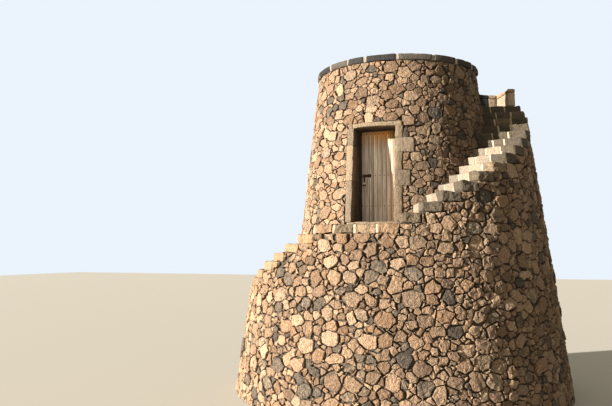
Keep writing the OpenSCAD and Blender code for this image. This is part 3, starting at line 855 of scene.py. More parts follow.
def evaluated(holder):
    """The plain mesh that an object's modifier makes; the object is removed."""
    reader = bpy.context.evaluated_depsgraph_get()
    made = bpy.data.meshes.new_from_object(holder.evaluated_get(reader), depsgraph=reader)
    bpy.data.objects.remove(holder)
    return made


def through_tree(mesh, tree, values):
    """The plain mesh that a geometry node tree makes of a mesh; values gives the tree's inputs by name."""
    holder = link("holder", mesh)
    modifier = holder.modifiers.new("stones", "NODES")
    modifier.node_group = tree
    for item in tree.interface.items_tree:
        if item.item_type == "SOCKET" and item.in_out == "INPUT" and item.name in values:
            modifier[item.identifier] = values[item.name]
    return evaluated(holder)


def new_geometry_tree(name, titles):
    """A geometry node tree with number inputs of these titles and a material, and the inputs' sockets."""
    tree = bpy.data.node_groups.new(name, "GeometryNodeTree")
    tree.is_modifier = True
    numbers = [(title, "INPUT", "Float") for title in titles]
    for title, side, kind in (("Geometry", "INPUT", "Geometry"), *numbers, ("Material", "INPUT", "Material"),
                              ("Geometry", "OUTPUT", "Geometry")):
        tree.interface.new_socket(title, in_out=side, socket_type="NodeSocket" + kind)
    return tree, add(tree, "NodeGroupInput").node.outputs


def finish_geometry_tree(tree, shape, material, smooth):
    """Ends a geometry node tree with a real mesh, its shading, its material and the output."""
    real = add(tree, "GeometryNodeRealizeInstances", {"Geometry": shape})
    shaded = add(tree, "GeometryNodeSetShadeSmooth", {"Geometry": real, "Shade Smooth": smooth})
    painted = add(tree, "GeometryNodeSetMaterial", {"Geometry": shaded, "Material": material})
    add(tree, "NodeGroupOutput", {0: painted})


def rubble_tree():
    """Geometry nodes that raise outlines into stones with a rounded arris, a low crown and a rough face."""
    tree, given = new_geometry_tree("rubble_stones", ("Depth", "Arris", "Crown", "Lump", "Grain"))
    named = {
        title: add(tree, "GeometryNodeInputNamedAttribute", {"Name": title}, data_type=kind)
        for title, kind in (("reach", "FLOAT"), ("proud", "FLOAT"), ("middle", "FLOAT_VECTOR"),
                            ("outward", "FLOAT_VECTOR"), ("tilt", "FLOAT_VECTOR"))
    }
    part = add(tree, "ShaderNodeMath", {0: given["Arris"], 1: named["reach"]}, operation="DIVIDE")
    flank = add(tree, "ShaderNodeMath", {0: given["Depth"], 1: given["Arris"]}, operation="SUBTRACT")
    flank = add(tree, "ShaderNodeMath", {0: flank, 1: named["proud"]}, operation="ADD")
    solid = add(tree, "GeometryNodeExtrudeMesh", {"Mesh": given["Geometry"], "Offset Scale": flank},
                mode="FACES")
    top = solid.node.outputs["Top"]
    # Two rings round the arris by shares of it, and the third one shrinks to the crown
    for of, rise, inset, scale in (("Arris", 0.6, 0.35, None), ("Arris", 0.4, 0.65, None),
                                   ("Crown", 1.0, None, 0.58)):
        height = add(tree, "ShaderNodeMath", {0: given[of], 1: rise}, operation="MULTIPLY")
        if scale is None:
            less = add(tree, "ShaderNodeMath", {0: part, 1: inset}, operation="MULTIPLY")
            scale = add(tree, "ShaderNodeMath", {0: 1.0, 1: less}, operation="SUBTRACT")
        step = add(tree, "GeometryNodeExtrudeMesh",
                   {"Mesh": solid, "Selection": top, "Offset Scale": height}, mode="FACES")
        top = step.node.outputs["Top"]
        solid = add(tree, "GeometryNodeScaleElements", {"Geometry": step, "Selection": top, "Scale": scale},
                    domain="FACE")
    place = add(tree, "GeometryNodeInputPosition")
    away = add(tree, "ShaderNodeVectorMath", {0: place, 1: named["middle"]}, operation="SUBTRACT")
    depth = add(tree, "ShaderNodeVectorMath", {0: away, 1: named["outward"]}, operation="DOT_PRODUCT")
    low = add(tree, "ShaderNodeMath", {0: given["Depth"], 1: -0.5}, operation="MULTIPLY")
    risen = add(tree, "ShaderNodeMath", {0: depth, 1: low}, operation="GREATER_THAN")
    high = add(tree, "GeometryNodeStoreNamedAttribute",
               {"Geometry": solid, "Name": "height", "Value": risen}, data_type="FLOAT", domain="POINT")
    slope = add(tree, "ShaderNodeVectorMath", {0: away, 1: named["tilt"]}, operation="DOT_PRODUCT")
    lifted = add(tree, "ShaderNodeMath", {0: slope, 1: risen}, operation="MULTIPLY")
    shift = add(tree, "ShaderNodeVectorMath", {0: named["outward"], 3: lifted}, operation="SCALE")
    leant = add(tree, "GeometryNodeSetPosition", {"Geometry": high, "Offset": shift})
    # The grain is finer on small stones, or else it would crumple them
    fine = add(tree, "ShaderNodeMapRange", {0: named["reach"], 1: 15 * MM, 2: 60 * MM, 3: 0.35, 4: 1.0})
    for title, scale, share in (("Lump", 11.0, 1.0), ("Grain", 26.0, fine)):
        field = add(tree, "ShaderNodeTexNoise", {"Vector": place, "Scale": scale, "Detail": 1.0})
        centred = add(tree, "ShaderNodeVectorMath", {0: field.node.outputs["Color"], 1: (0.5, 0.5, 0.5)},
                      operation="SUBTRACT")
        amount = add(tree, "ShaderNodeMath", {0: given[title], 1: risen}, operation="MULTIPLY")
        amount = add(tree, "ShaderNodeMath", {0: amount, 1: share}, operation="MULTIPLY")
        moved = add(tree, "ShaderNodeVectorMath", {0: centred, 3: amount}, operation="SCALE")
        leant = add(tree, "GeometryNodeSetPosition", {"Geometry": leant, "Offset": moved})
    back = add(tree, "GeometryNodeFlipFaces", {"Mesh": given["Geometry"]})
    both = add(tree, "GeometryNodeJoinGeometry")
    tree.links.new(leant, both.node.inputs[0])
    tree.links.new(back, both.node.inputs[0])
    closed = add(tree, "GeometryNodeMergeByDistance", {"Geometry": both, "Distance": 0.1 * MM})
    finish_geometry_tree(tree, closed, given["Material"], smooth=False)
    return tree


def store_tones(mesh, tones, shades):
    """Gives a mesh the values that stone_material reads, with no corner deep in a joint."""
    store(mesh, "tone", tones)
    store(mesh, "shade", shades)
    store(mesh, "height", np.ones(len(mesh.vertices)))


class Blocks:
    """Dressed blocks gathered as one mesh, each with rounded arrises and a slightly uneven face."""

    def __init__(self, chance):
        self.chance = chance
        self.corners = []
        self.faces = []
        self.smooth = []
        self.values = []

    def lines(self, length, arris, cell):
        """Places of the grid lines along one length of a block, as shares of it."""
        edge = min(arris / length, 0.4)
        inner = max(1, round((1 - 2 * edge) * length / cell))
        middle = [edge + (1 - 2 * edge) * k / inner for k in range(1, inner)]
        return [0, 0.3 * edge, edge, *middle, 1 - edge, 1 - 0.3 * edge, 1]

    def add(self, place, size, arris, cell=0.07, lump=4 * MM, tone=None, smooth=True):
        """Adds a block: place maps three shares of its lengths to the frame, and size gives the lengths.

        cell is the width of the grid on its sides, lump how uneven they are, and tone its own tone, or None
        for any.
        """
        chance = self.chance
        drift = Vector(chance.uniform(-50, 50, 3))
        lines = [self.lines(length, arris, cell) for length in size]
        last = [len(line) - 1 for line in lines]
        value = (chance.random() if tone is None else tone, chance.random())
        index = {}

        def corner(i, j, k):
            """The number of a corner of the grid, made when it is first asked for."""
            key = (i, j, k)
            if key not in index:
                real = Vector([lines[axis][n] * size[axis] for axis, n in enumerate(key)])
                wear = arris * (1 + 0.5 * noise.noise(real * 7 + drift))
                inner = Vector([min(max(x, arris), length - arris) for x, length in zip(real, size)])
                off = real - inner
                if off.length > 0:
                    real = inner + off.normalized() * min(off.length, arris)
                    edges = sum(1 for x in off if abs(x) > 0.5 * arris)
                    if edges > 1:
                        real -= off.normalized() * max(0.0, wear - arris) * 1.5
                point = place(*[x / length for x, length in zip(real, size)])
                # Lumps about a sixth of a metre across, with lumps of 50 mm on them
                uneven = noise.noise_vector(point * 6 + drift) + noise.noise_vector(point * 21 + drift) * 0.6
                point = point + uneven * lump
                index[key] = len(self.corners)
                self.corners.append(point)
                self.values.append(value)
            return index[key]

        for axis in range(3):
            b, c = (axis + 1) % 3, (axis + 2) % 3
            for end in (0, last[axis]):
                for m in range(last[b]):
                    for n in range(last[c]):
                        ring = []
                        for dm, dn in ((0, 0), (1, 0), (1, 1), (0, 1)):
                            key = [0, 0, 0]
                            key[axis] = end
                            key[b] = m + dm
                            key[c] = n + dn
                            ring.append(corner(*key))
                        if end == 0:
                            ring.reverse()
                        self.faces.append(ring)
                        self.smooth.append(smooth)

    def mesh(self):
        made = bpy.data.meshes.new("blocks")
        made.from_pydata([tuple(p) for p in self.corners], [], self.faces)
        tones, shades = np.array(self.values).T
        store_tones(made, tones, shades)
        loose = bmesh.new()
        loose.from_mesh(made)
        bmesh.ops.recalc_face_normals(loose, faces=loose.faces)
        for polygon, smooth in zip(loose.faces, self.smooth):
            polygon.smooth = smooth
        loose.to_mesh(made)
        loose.free()
        return made


def core_mesh(nodes, radius, depth):
    """Merged copies of CAD nodes with their round outer face set back by depth, to carry the stones."""
    whole = bmesh.new()
    for node in nodes:
        part = merged_copy(node)
        for corner in part.verts:
            reach = math.hypot(corner.co.x, corner.co.y)
            if abs(reach - radius(corner.co.z)) < 3 * MM:
                share = (reach - depth) / reach
                corner.co.x *= share
                corner.co.y *= share
        mesh = plain_mesh(part)
        whole.from_mesh(mesh)
        bpy.data.meshes.remove(mesh)
    return plain_mesh(whole)


def bevelled_copy(node, width):
    """A merged copy of a CAD node with its arrises eased, each of its solids with a tone of its own."""
    holder = link("holder", plain_mesh(merged_copy(node)))
    ease = holder.modifiers.new("ease", "BEVEL")
    ease.width = width
    ease.segments = 2
    ease.limit_method = "ANGLE"
    ease.angle_limit = math.radians(40)
    made = evaluated(holder)
    tones = np.zeros(len(made.vertices))
    places = np.array([v.co for v in made.vertices])
    for k, corners in enumerate(solids(node)):
        low, high = corners.min(0) - MM, corners.max(0) + MM
        own = np.all((places > low) & (places < high), axis=1)
        tones[own] = (k * GOLDEN) % 1
    store_tones(made, tones, tones)
    return made


# Sizes and colours that a user would change


def metres(name, description, default, least, most):
    """A length that a user can change."""
    return bpy.props.FloatProperty(
        name=name, description=description, default=default, min=least, max=most, unit="LENGTH")


def tint(name, description, default):
    """A colour that a user can change, as an sRGB hex value."""
    return bpy.props.StringProperty(name=name, description=description, default=default)


class TowerSizes(bpy.types.PropertyGroup):
    core_depth: metres("Joint depth", "Distance from the mean face back to the mortar",
                       56 * MM, 10 * MM, 80 * MM)
    drum_stone: metres("Drum stone", "Radius of the largest stones of the drum", 0.12, 0.05, 0.2)
    stair_stone: metres("Stair stone", "Radius of the largest stones of the stair's masonry",
                        0.16, 0.08, 0.3)
    drum_joint: metres("Drum joint", "Mean width of the joints in the drum", 10 * MM, 4 * MM, 40 * MM)
    stair_joint: metres("Stair joint", "Mean width of the joints in the stair's masonry",
                        14 * MM, 4 * MM, 50 * MM)
    arris: metres("Arris", "Rounding of the rubble stones' edges", 12 * MM, 2 * MM, 40 * MM)
    lump: metres("Lump", "Unevenness of the rubble stones' faces", 50 * MM, 0.0, 80 * MM)
    floor_size: metres("Floor", "Width of the studio floor", 120.0, 20.0, 400.0)
    sun_side: bpy.props.FloatProperty(
        name="Sun side", description="Angle of the light to the left of the doorway",
        default=math.radians(45.5), min=0.0, max=math.radians(90), subtype="ANGLE")
    sun_height: bpy.props.FloatProperty(
        name="Sun height", description="Height of the light above the horizon", default=math.radians(12),
        min=math.radians(4), max=math.radians(80), subtype="ANGLE")


class TowerColours(bpy.types.PropertyGroup):
    tan: tint("Tan stone", "Palest tuff of the rubble", "#937B63")
    peach: tint("Peach stone", "Pinkish tuff of the rubble", "#8B7058")
    ochre: tint("Ochre stone", "Orange-brown tuff of the rubble", "#80634A")
    brown: tint("Brown stone", "Dull brown tuff of the rubble", "#765F4B")
    grey: tint("Grey stone", "Weathered basalt of the rubble", "#5B5044")
    basalt: tint("Basalt stone", "Darkest basalt of the rubble", "#4A4036")
    mortar: tint("Mortar", "Dry mortar behind the rubble", "#4E4032")
    mortar_dark: tint("Damp mortar", "Damp patches of the mortar", "#2C241B")
    step: tint("Steps", "Palest stone of the treads", "#807263")
    coping: tint("Coping", "Mean tone of the coping's basalt", "#3A332D")
    board: tint("Door boards", "Weathered wood between the streaks", "#C8B6A6")
    board_top: tint("Sheltered boards", "Wood that keeps its ochre under the lintel", "#D29446")
    floor: tint("Studio floor", "Floor that the tower stands on", "#A8A298")
    sky: tint("Studio backdrop", "Backdrop behind the tower", "#EBF3FC")
    fill: tint("Studio fill light", "Soft light from all sides and from the front", "#FFFBE8")
    sun: tint("Studio sun", "Low sun from the left", "#FFFAF0")


def sizes():
    return bpy.context.scene.tower_sizes


def colours():
    return bpy.context.scene.tower_colours


kept = {}


def once(make):
    """The material or node tree that a function makes, made once and kept."""
    if make.__name__ not in kept:
        kept[make.__name__] = make()
    return kept[make.__name__]


def rubble_piece(name, laid, material, arris, lump, depth, crown=3 * MM, grain=20 * MM):
    """Raises laid outlines into stones with the rubble tree and links them as a piece."""
    made = through_tree(laid.mesh(), once(rubble_tree), {
        "Depth": depth, "Arris": arris, "Crown": crown, "Lump": lump, "Grain": grain, "Material": material})
    finish_piece(name, made, material)


def grades(largest, tries, first=0.1):
    """Radii of stones from the largest down, and how many tries each gets, as shares of a number of tries.

    first is the share that the largest stones get.
    """
    least = 30 * MM
    shares = ((1.0, first), (0.8, 0.25), (0.62, 0.6), (0.48, 1.2), (0.36, 2.8), (0.27, 3.5), (0.21, 2.5))
    return [(largest * share, int(tries * many)) for share, many in shares if largest * share > least]


# Operators: one for each piece or group of like pieces


# The CAD nodes that each core stands for
DRUM_NODES = (
    "drum_base", "wall_left_of_door", "wall_right_of_door", "wall_over_door", "chamber_wall_left",
    "chamber_wall_right", "chamber_wall_back", "drum_head", "parapet_front", "parapet_left", "parapet_right",
    "parapet_back",
)
STAIR_NODES = (
    "stair_base_back_left", "stair_base_left", "stair_base_front_left", "landing_base",
    "stair_base_front_right", "stair_base_right", "stair_base_back_right",
)
# The rubble's outlines lie this deep behind the mean face, within the mortar
SUNK = 74 * MM


def doorway_blocks():
    """Blocks that the doorway's dressed stones and its opening cover on the drum."""
    found = []
    for name in ("left_jamb", "right_jamb", "lintel", "door_sill"):
        for corners in solids(name):
            low, high = corners.min(0), corners.max(0)
            radius = drum_radius((low[2] + high[2]) / 2)
            found.append((math.asin(low[0] / radius), math.asin(high[0] / radius), low[2], high[2]))
    first = min(block[0] for block in found[:3]) + 0.03
    low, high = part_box("left_jamb")
    return [*found, (first, -first, low.z, high.z)]


class TOWER_OT_cores(bpy.types.Operator):
    """Builds the mortar cores of the drum and of the stair"""

    bl_idname = "tower.cores"
    bl_label = "Mortar cores"

    def execute(self, context):
        for name, nodes, radius in (("drum_core", DRUM_NODES, drum_radius),
                                    ("stair_core", STAIR_NODES, mass_radius)):
            mesh = core_mesh(nodes, radius, sizes().core_depth)
            finish_piece(name, mesh, once(mortar_material), nodes)
        return {"FINISHED"}


class TOWER_OT_drum_rubble(bpy.types.Operator):
    """Lays the drum's rubble between the stair, the doorway and the coping"""

    bl_idname = "tower.drum_rubble"
    bl_label = "Drum rubble"

    def execute(self, context):
        chance = np.random.default_rng(seed=11)
        face = RoundFace(DRUM_FOOT, DRUM_BATTER, stretch=1.25)
        gap = (*THRESHOLD[:3], TOP_Z)
        blocks = [*doorway_blocks(), gap, band(COPING_Z, TOP_Z), GROUND]
        buried = 220 * MM

        def inside(angle, z, radius):
            if z > COPING_Z - 0.3 * radius or z < tread_height(angle) - buried or z < 0.3 * radius:
                return False
            return all(max(face.sides((angle, z), block)[::2]) > 0.2 * radius for block in blocks[:-2])

        laid = lay_rubble(face, (-math.pi, math.pi, 0, COPING_Z), inside, blocks,
                          grades(sizes().drum_stone, tries=5200), sizes().drum_joint, corner=3 * MM,
                          chance=chance, sunk=SUNK, parts=5, square=0.8, pin=12 * MM)
        for k, part in enumerate(laid):
            rubble_piece(f"drum_rubble_{k + 1}", part, once(drum_material), 0.6 * sizes().arris,
                         0.8 * sizes().lump, SUNK)
        return {"FINISHED"}


class TOWER_OT_stair_rubble(bpy.types.Operator):
    """Lays the larger rubble of the stair's masonry, up to the steps' undersides, and its upright end"""

    bl_idname = "tower.stair_rubble"
    bl_label = "Stair rubble"

    def execute(self, context):
        chance = np.random.default_rng(seed=23)
        face = RoundFace(MASS_FOOT, MASS_BATTER, stretch=1.12)
        start, end = LOWER_STEPS[1][0], UPPER_STEPS[-1][1]
        behind = (end, start + TURN, -1, TOP_Z)
        blocks = [*(tread[:4] for tread in TREADS), behind, GROUND]

        def inside(angle, z, radius):
            if not start < angle < end or z > tread_height(angle) - 0.1 or z < 0.3 * radius:
                return False
            near = [b for b in blocks[:-1] if b[2] - 1 < z < b[3] + 1]
            return all(max(face.sides((angle, z), block)[::2]) > 0.2 * radius for block in near)

        laid = lay_rubble(face, (start, end, 0, HEAD_Z), inside, blocks,
                          grades(sizes().stair_stone, tries=3000, first=0.03), sizes().stair_joint,
                          corner=7 * MM, chance=chance, sunk=SUNK, parts=4, proud=11 * MM, square=0.25,
                          blocky=60 * MM, pin=14 * MM)
        for k, part in enumerate(laid):
            rubble_piece(f"stair_rubble_{k + 1}", part, once(rubble_material), sizes().arris, sizes().lump,
                         SUNK, crown=4 * MM, grain=34 * MM)
        flat = UprightFace(end, 1, (MASS_FOOT, MASS_BATTER))
        top = UPPER_STEPS[-1][2]

        def on_end(radius, z, stone):
            clear = drum_radius(z) + 0.2 * stone < radius < mass_radius(z) - 0.4 * stone
            return clear and z < top - 0.3 * stone

        far = 9
        edges = [(0, drum_radius(top) - 20 * MM, -1, TOP_Z), (0, far, top, TOP_Z), (0, far, -1, 0)]
        laid = lay_rubble(flat, (drum_radius(top), mass_radius(0), 0, top), on_end, edges,
                          grades(sizes().stair_stone, tries=500), sizes().stair_joint, corner=8 * MM,
                          chance=chance, sunk=20 * MM, proud=4 * MM, pin=14 * MM)
        rubble_piece("stair_end_rubble", laid[0], once(rubble_material), sizes().arris, 0.6 * sizes().lump,
                     30 * MM, grain=12 * MM)
        return {"FINISHED"}


def shares_of(lengths):
    """The parts that lengths laid end to end take up, each as (start, end) from 0 to 1."""
    ends = np.cumsum(lengths)
    ends = [0, *(ends / ends[-1])]
    return list(zip(ends, ends[1:]))


def step_blocks(blocks, seams, step, parts, joint, tones, ends, rough):
    """Adds the stones of one step or slab, laid from the drum out to the stair's face, and their mortar.

    ends is the range of tones of the stone that shows at the stair's face, rough how uneven it is, and tones
    the range of the others.
    """
    chance = blocks.chance
    arris, proud, tail, lap = 18 * MM, 9 * MM, 40 * MM, 14 * MM
    first, last, bottom, top = step[:4]
    middle = (bottom + top) / 2
    inner, outer = drum_radius(middle) - tail, mass_radius(middle)
    width = outer - inner
    for low, high in shares_of(chance.uniform(0.75, 1.3, parts)):
        near = low + (joint / 2 / width if low else 0)
        far = high - (joint / 2 / width if high < 1 else -proud * chance.uniform(0.3, 1.4) / width)
        lift = chance.uniform(-2, 2) * MM

        def place(u, v, w, near=near, far=far, lift=lift, back=0.0):
            z = bottom + w * (top + lift - back - bottom)
            inside, outside = drum_radius(z) - tail, mass_radius(z)
            radius = inside + (near + v * (far - near)) * (outside - inside)
            gap = (joint / 4 + back) / radius
            return polar(radius, first + gap + u * (last - first - 2 * gap), z)

        size = ((last - first) * (inner + width * (near + far) / 2), (far - near) * width, top - bottom)
        # The stone that shows at the stair's face is left as rough as the rubble
        if high == 1:
            blocks.add(place, size, 1.3 * arris, cell=40 * MM, lump=rough, tone=chance.uniform(*ends),
                       smooth=False)
        else:
            blocks.add(place, size, arris, cell=50 * MM, lump=8 * MM, tone=chance.uniform(*tones))

            def seam(u, v, w, at=high, half=0.5 * joint + lap):
                return place(u, v, w, at - half / width, at + half / width, 0, 9 * MM)

            seams.add(seam, (size[0], joint + 2 * lap, size[2]), 6 * MM, cell=60 * MM, lump=4 * MM)


class TOWER_OT_steps(bpy.types.Operator):
    """Builds the steps, the landing and the platform from dressed stones, and the mortar between them"""

    bl_idname = "tower.steps"
    bl_label = "Steps and landing"

    def execute(self, context):
        seams = Blocks(np.random.default_rng(seed=41))
        for seed, name, node, steps, parts, joint, ends, rough in (
                (31, "lower_steps_dressed", "lower_steps", LOWER_STEPS, 2, 18 * MM, (0.5, 0.74), 24 * MM),
                (32, "landing_stone_slabs", "landing_slabs", LANDING, 2, 20 * MM, (0.5, 0.77), 34 * MM),
                (33, "upper_steps_dressed", "upper_steps", UPPER_STEPS, 3, 22 * MM, (0.76, 1.0), 24 * MM)):
            blocks = Blocks(np.random.default_rng(seed))
            for number, step in enumerate(steps, 1):
                # From the ninth step of the upper flight on, the stone is given darker tones: painted shade
                # of the drum
                tones = (0.74, 0.9) if steps is UPPER_STEPS and number > 8 else (0, 0.42)
                step_blocks(blocks, seams, step, parts, joint, tones, ends, rough)
            finish_piece(name, blocks.mesh(), once(step_material), (node,))
        # The mortar between the landing's slabs, a little lower than they are
        wide, low = 50 * MM, 6 * MM
        for first, _, bottom, top, _, _ in LANDING:

            def between(u, v, w, first=first, bottom=bottom, top=top):
                z = bottom + w * (top - low - bottom)
                radius = drum_radius(z) + v * (mass_radius(z) - low - drum_radius(z))
                return polar(radius, first + (u - 0.5) * wide / radius, z)

            width = mass_radius(top) - drum_radius(top)
            seams.add(between, (wide, width, top - bottom), 8 * MM, cell=60 * MM, lump=6 * MM)
        pale = mortar_material("pale_lime_mortar", "#A69681", "#86755F")
        finish_piece("step_mortar", seams.mesh(), pale)
        return {"FINISHED"}


class TOWER_OT_coping(bpy.types.Operator):
    """Builds the curved basalt blocks of the coping and the mortar between them"""

    bl_idname = "tower.coping"
    bl_label = "Coping"

    def execute(self, context):
        chance = np.random.default_rng(seed=53)
        blocks = Blocks(chance)
        bed = Blocks(chance)
        # The mortar lies this much within the blocks' faces, and its lengths overlap by 2% at each end
        back = 12 * MM
        for first, last, bottom, top, inner, outer in COPING:
            joints = [chance.uniform(10, 36) * MM / outer for _ in range(2)]

            def place(u, v, w, a=first + joints[0], b=last - joints[1]):
                return polar(inner + v * (outer - inner), a + u * (b - a), bottom + w * (top - bottom))

            def place_bed(u, v, w):
                angle = first + (u * 1.04 - 0.02) * (last - first)
                radius = inner + back + v * (outer - inner - 2 * back)
                return polar(radius, angle, bottom + w * (top - back - bottom))

            size = ((last - first) * outer, outer - inner, top - bottom)
            blocks.add(place, size, 16 * MM, cell=60 * MM, lump=7 * MM)
            bed.add(place_bed, size, 12 * MM, cell=60 * MM, lump=5 * MM)
        finish_piece("coping_blocks", blocks.mesh(), once(coping_material),
                     ("coping_stones",))
        pale = mortar_material("coping_mortar", "#8F8575", "#6E6353")
        finish_piece("coping_joints", bed.mesh(), pale)
        return {"FINISHED"}


class TOWER_OT_doorway(bpy.types.Operator):
    """Builds the jamb stones, the lintel and the sill"""

    bl_idname = "tower.doorway"
    bl_label = "Doorway stones"

    def execute(self, context):
        chance = np.random.default_rng(seed=61)
        for name in ("left_jamb", "right_jamb", "lintel", "door_sill"):
            blocks = Blocks(chance)
            for corners in solids(name):
                low, high = corners.min(0), corners.max(0)
                # How far the stone stands out from the drum, at its foremost bottom corner
                foot = corners[corners[:, 2] < low[2] + MM]
                foremost = foot[foot[:, 1].argmin()]
                stand = math.hypot(*foremost[:2]) - drum_radius(low[2])
                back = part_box("left_jamb")[1].y + 350 * MM if name == "door_sill" else high[1]

                def place(u, v, w, low=low, high=high, back=back, stand=stand):
                    x = low[0] + u * (high[0] - low[0])
                    z = low[2] + w * (high[2] - low[2])
                    front = -math.sqrt((drum_radius(z) + stand) ** 2 - x * x)
                    return Vector((x, front + v * (back - front), z))

                size = (high[0] - low[0], back - low[1], high[2] - low[2])
                tone = 0.1 if name == "lintel" else None
                blocks.add(place, size, 14 * MM, cell=50 * MM, lump=10 * MM, tone=tone)
            finish_piece(name + "_stones", blocks.mesh(), once(frame_material), (name,))
        finish_piece("recess_lintel_stone", bevelled_copy("recess_lintel", 8 * MM), once(frame_material),
                     ("recess_lintel",))
        return {"FINISHED"}


class TOWER_OT_door(bpy.types.Operator):
    """Builds the door's boards, its ledges, straps and nails"""

    bl_idname = "tower.door"
    bl_label = "Plank door"

    def execute(self, context):
        upright = board_material()
        level = board_material("weathered_pine_battens", (0.035, 1.0, 1.0), edges=False)
        iron = iron_material()
        # The padlock is pale steel painted near white, with a painted highlight, and black at its lower end
        steel_and_highlight = iron_material("galvanised_steel", "#F4F0E6", "#D8D0C0", 0.0, 0.5, dark_foot_box=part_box("padlock"))
        for name, node, width, material, slot, body in (
                ("door_boards", "door_planks", 3 * MM, upright, "weathered_pine", "door"),
                ("door_battens", "door_ledges", 3 * MM, level, "weathered_pine", "door"),
                ("door_straps", "strap_hinges", 0.8 * MM, iron, "wrought_iron", "door"),
                ("hinge_pins", "hinge_pintles", 0.8 * MM, iron, "wrought_iron", "tower"),
                ("draw_bolt", "door_bolt", 0.8 * MM, iron, "wrought_iron", "door"),
                ("hanging_lock", "padlock", 2 * MM, steel_and_highlight, "galvanised_steel", "door")):
            finish_piece(name, bevelled_copy(node, width), material, (node,), body)
        finish_piece("door_nails", nail_mesh(iron), iron, body="door")
        return {"FINISHED"}


def nail_mesh(iron):
    """Nail heads in a row at each ledge and along the front rail, made by instancing one head on points."""
    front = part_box("door_planks")[0].y
    ledges = solids("door_ledges")
    rail = min(ledges, key=lambda ledge: ledge[:, 1].min())
    spots = []
    for ledge in ledges:
        middle = (ledge[:, 2].min() + ledge[:, 2].max()) / 2
        if ledge is rail:
            face, middle = rail[:, 1].min(), rail[:, 2].min() + 12 * MM
        elif middle > rail[:, 2].min():
            continue
        else:
            face = front
        for board in solids("door_planks"):
            x0, x1 = board[:, 0].min(), board[:, 0].max()
            spots.append((x0 + 0.5 * (x1 - x0), face, middle))
    points = bpy.data.meshes.new("nail_places")
    points.from_pydata(spots, [], [])
    tree, given = new_geometry_tree("nail_heads", ("Head radius", "Head rise"))
    ball = add(tree, "GeometryNodeMeshUVSphere", {"Segments": 10, "Rings": 6, "Radius": 1.0})
    scale = add(tree, "ShaderNodeCombineXYZ",
                {0: given["Head radius"], 1: given["Head rise"], 2: given["Head radius"]})
    heads = add(tree, "GeometryNodeInstanceOnPoints",
                {"Points": given["Geometry"], "Instance": ball, "Scale": scale})
    finish_geometry_tree(tree, heads, given["Material"], smooth=True)
    return through_tree(points, tree, {"Head radius": 10 * MM, "Head rise": 3 * MM, "Material": iron})


class TOWER_OT_roof(bpy.types.Operator):
    """Paves the roof terrace and the chamber, and lines the parapet with rubble"""

    bl_idname = "tower.roof"
    bl_label = "Terrace and chamber"

    def execute(self, context):
        chance = np.random.default_rng(seed=71)
        for name, node in (("terrace", "terrace_paving"), ("chamber", "chamber_floor")):
            _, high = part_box(node)
            radius = high.x
            bed = merged_copy(node)
            for corner in bed.verts:
                if corner.co.z > high.z - MM:
                    corner.co.z -= 8 * MM
            finish_piece(name + "_bed", plain_mesh(bed), once(mortar_material), (node,))

            def inside(x, y, stone, radius=radius):
                return math.hypot(x, y) < radius - 0.7 * stone

            laid = lay_rubble(LevelFace(high.z), (-radius, radius, -radius, radius), inside, [],
                              grades(240 * MM, tries=700), 12 * MM, corner=14 * MM, chance=chance,
                              sunk=20 * MM, proud=0.5 * MM, lean=0.004, pin=16 * MM)
            rubble_piece(name + "_flags", laid[0], once(paving_material), 5 * MM, 3 * MM, 20 * MM,
                         crown=1 * MM, grain=2 * MM)
        blocks = Blocks(chance)
        first, last, bottom, top, inner, _ = THRESHOLD

        def place(u, v, w):
            z = bottom + w * (top - bottom)
            return polar(inner + v * (drum_radius(z) + 8 * MM - inner), first + u * (last - first), z)

        size = ((last - first) * drum_radius(top), drum_radius(top) - inner, top - bottom)
        blocks.add(place, size, 12 * MM)
        finish_piece("threshold_slab", blocks.mesh(), once(step_material),
                     ("terrace_threshold",))
        inner_face = RoundFace(inner, 0, -1)
        gap = (first, last, 0, TOP_Z)
        edges = [gap, band(COPING_Z, TOP_Z), band(0, HEAD_Z)]

        def lining(angle, z, stone):
            return max(inner_face.sides((angle, z), gap)[::2]) > 0.35 * stone

        laid = lay_rubble(inner_face, (-math.pi, math.pi, HEAD_Z, COPING_Z), lining, edges,
                          grades(sizes().drum_stone, tries=700), sizes().drum_joint, corner=9 * MM,
                          chance=chance, sunk=10 * MM, proud=2 * MM, lean=0.02)
        rubble_piece("parapet_lining", laid[0], once(rubble_material), 8 * MM, 8 * MM, 12 * MM,
                     crown=2 * MM, grain=8 * MM)
        return {"FINISHED"}


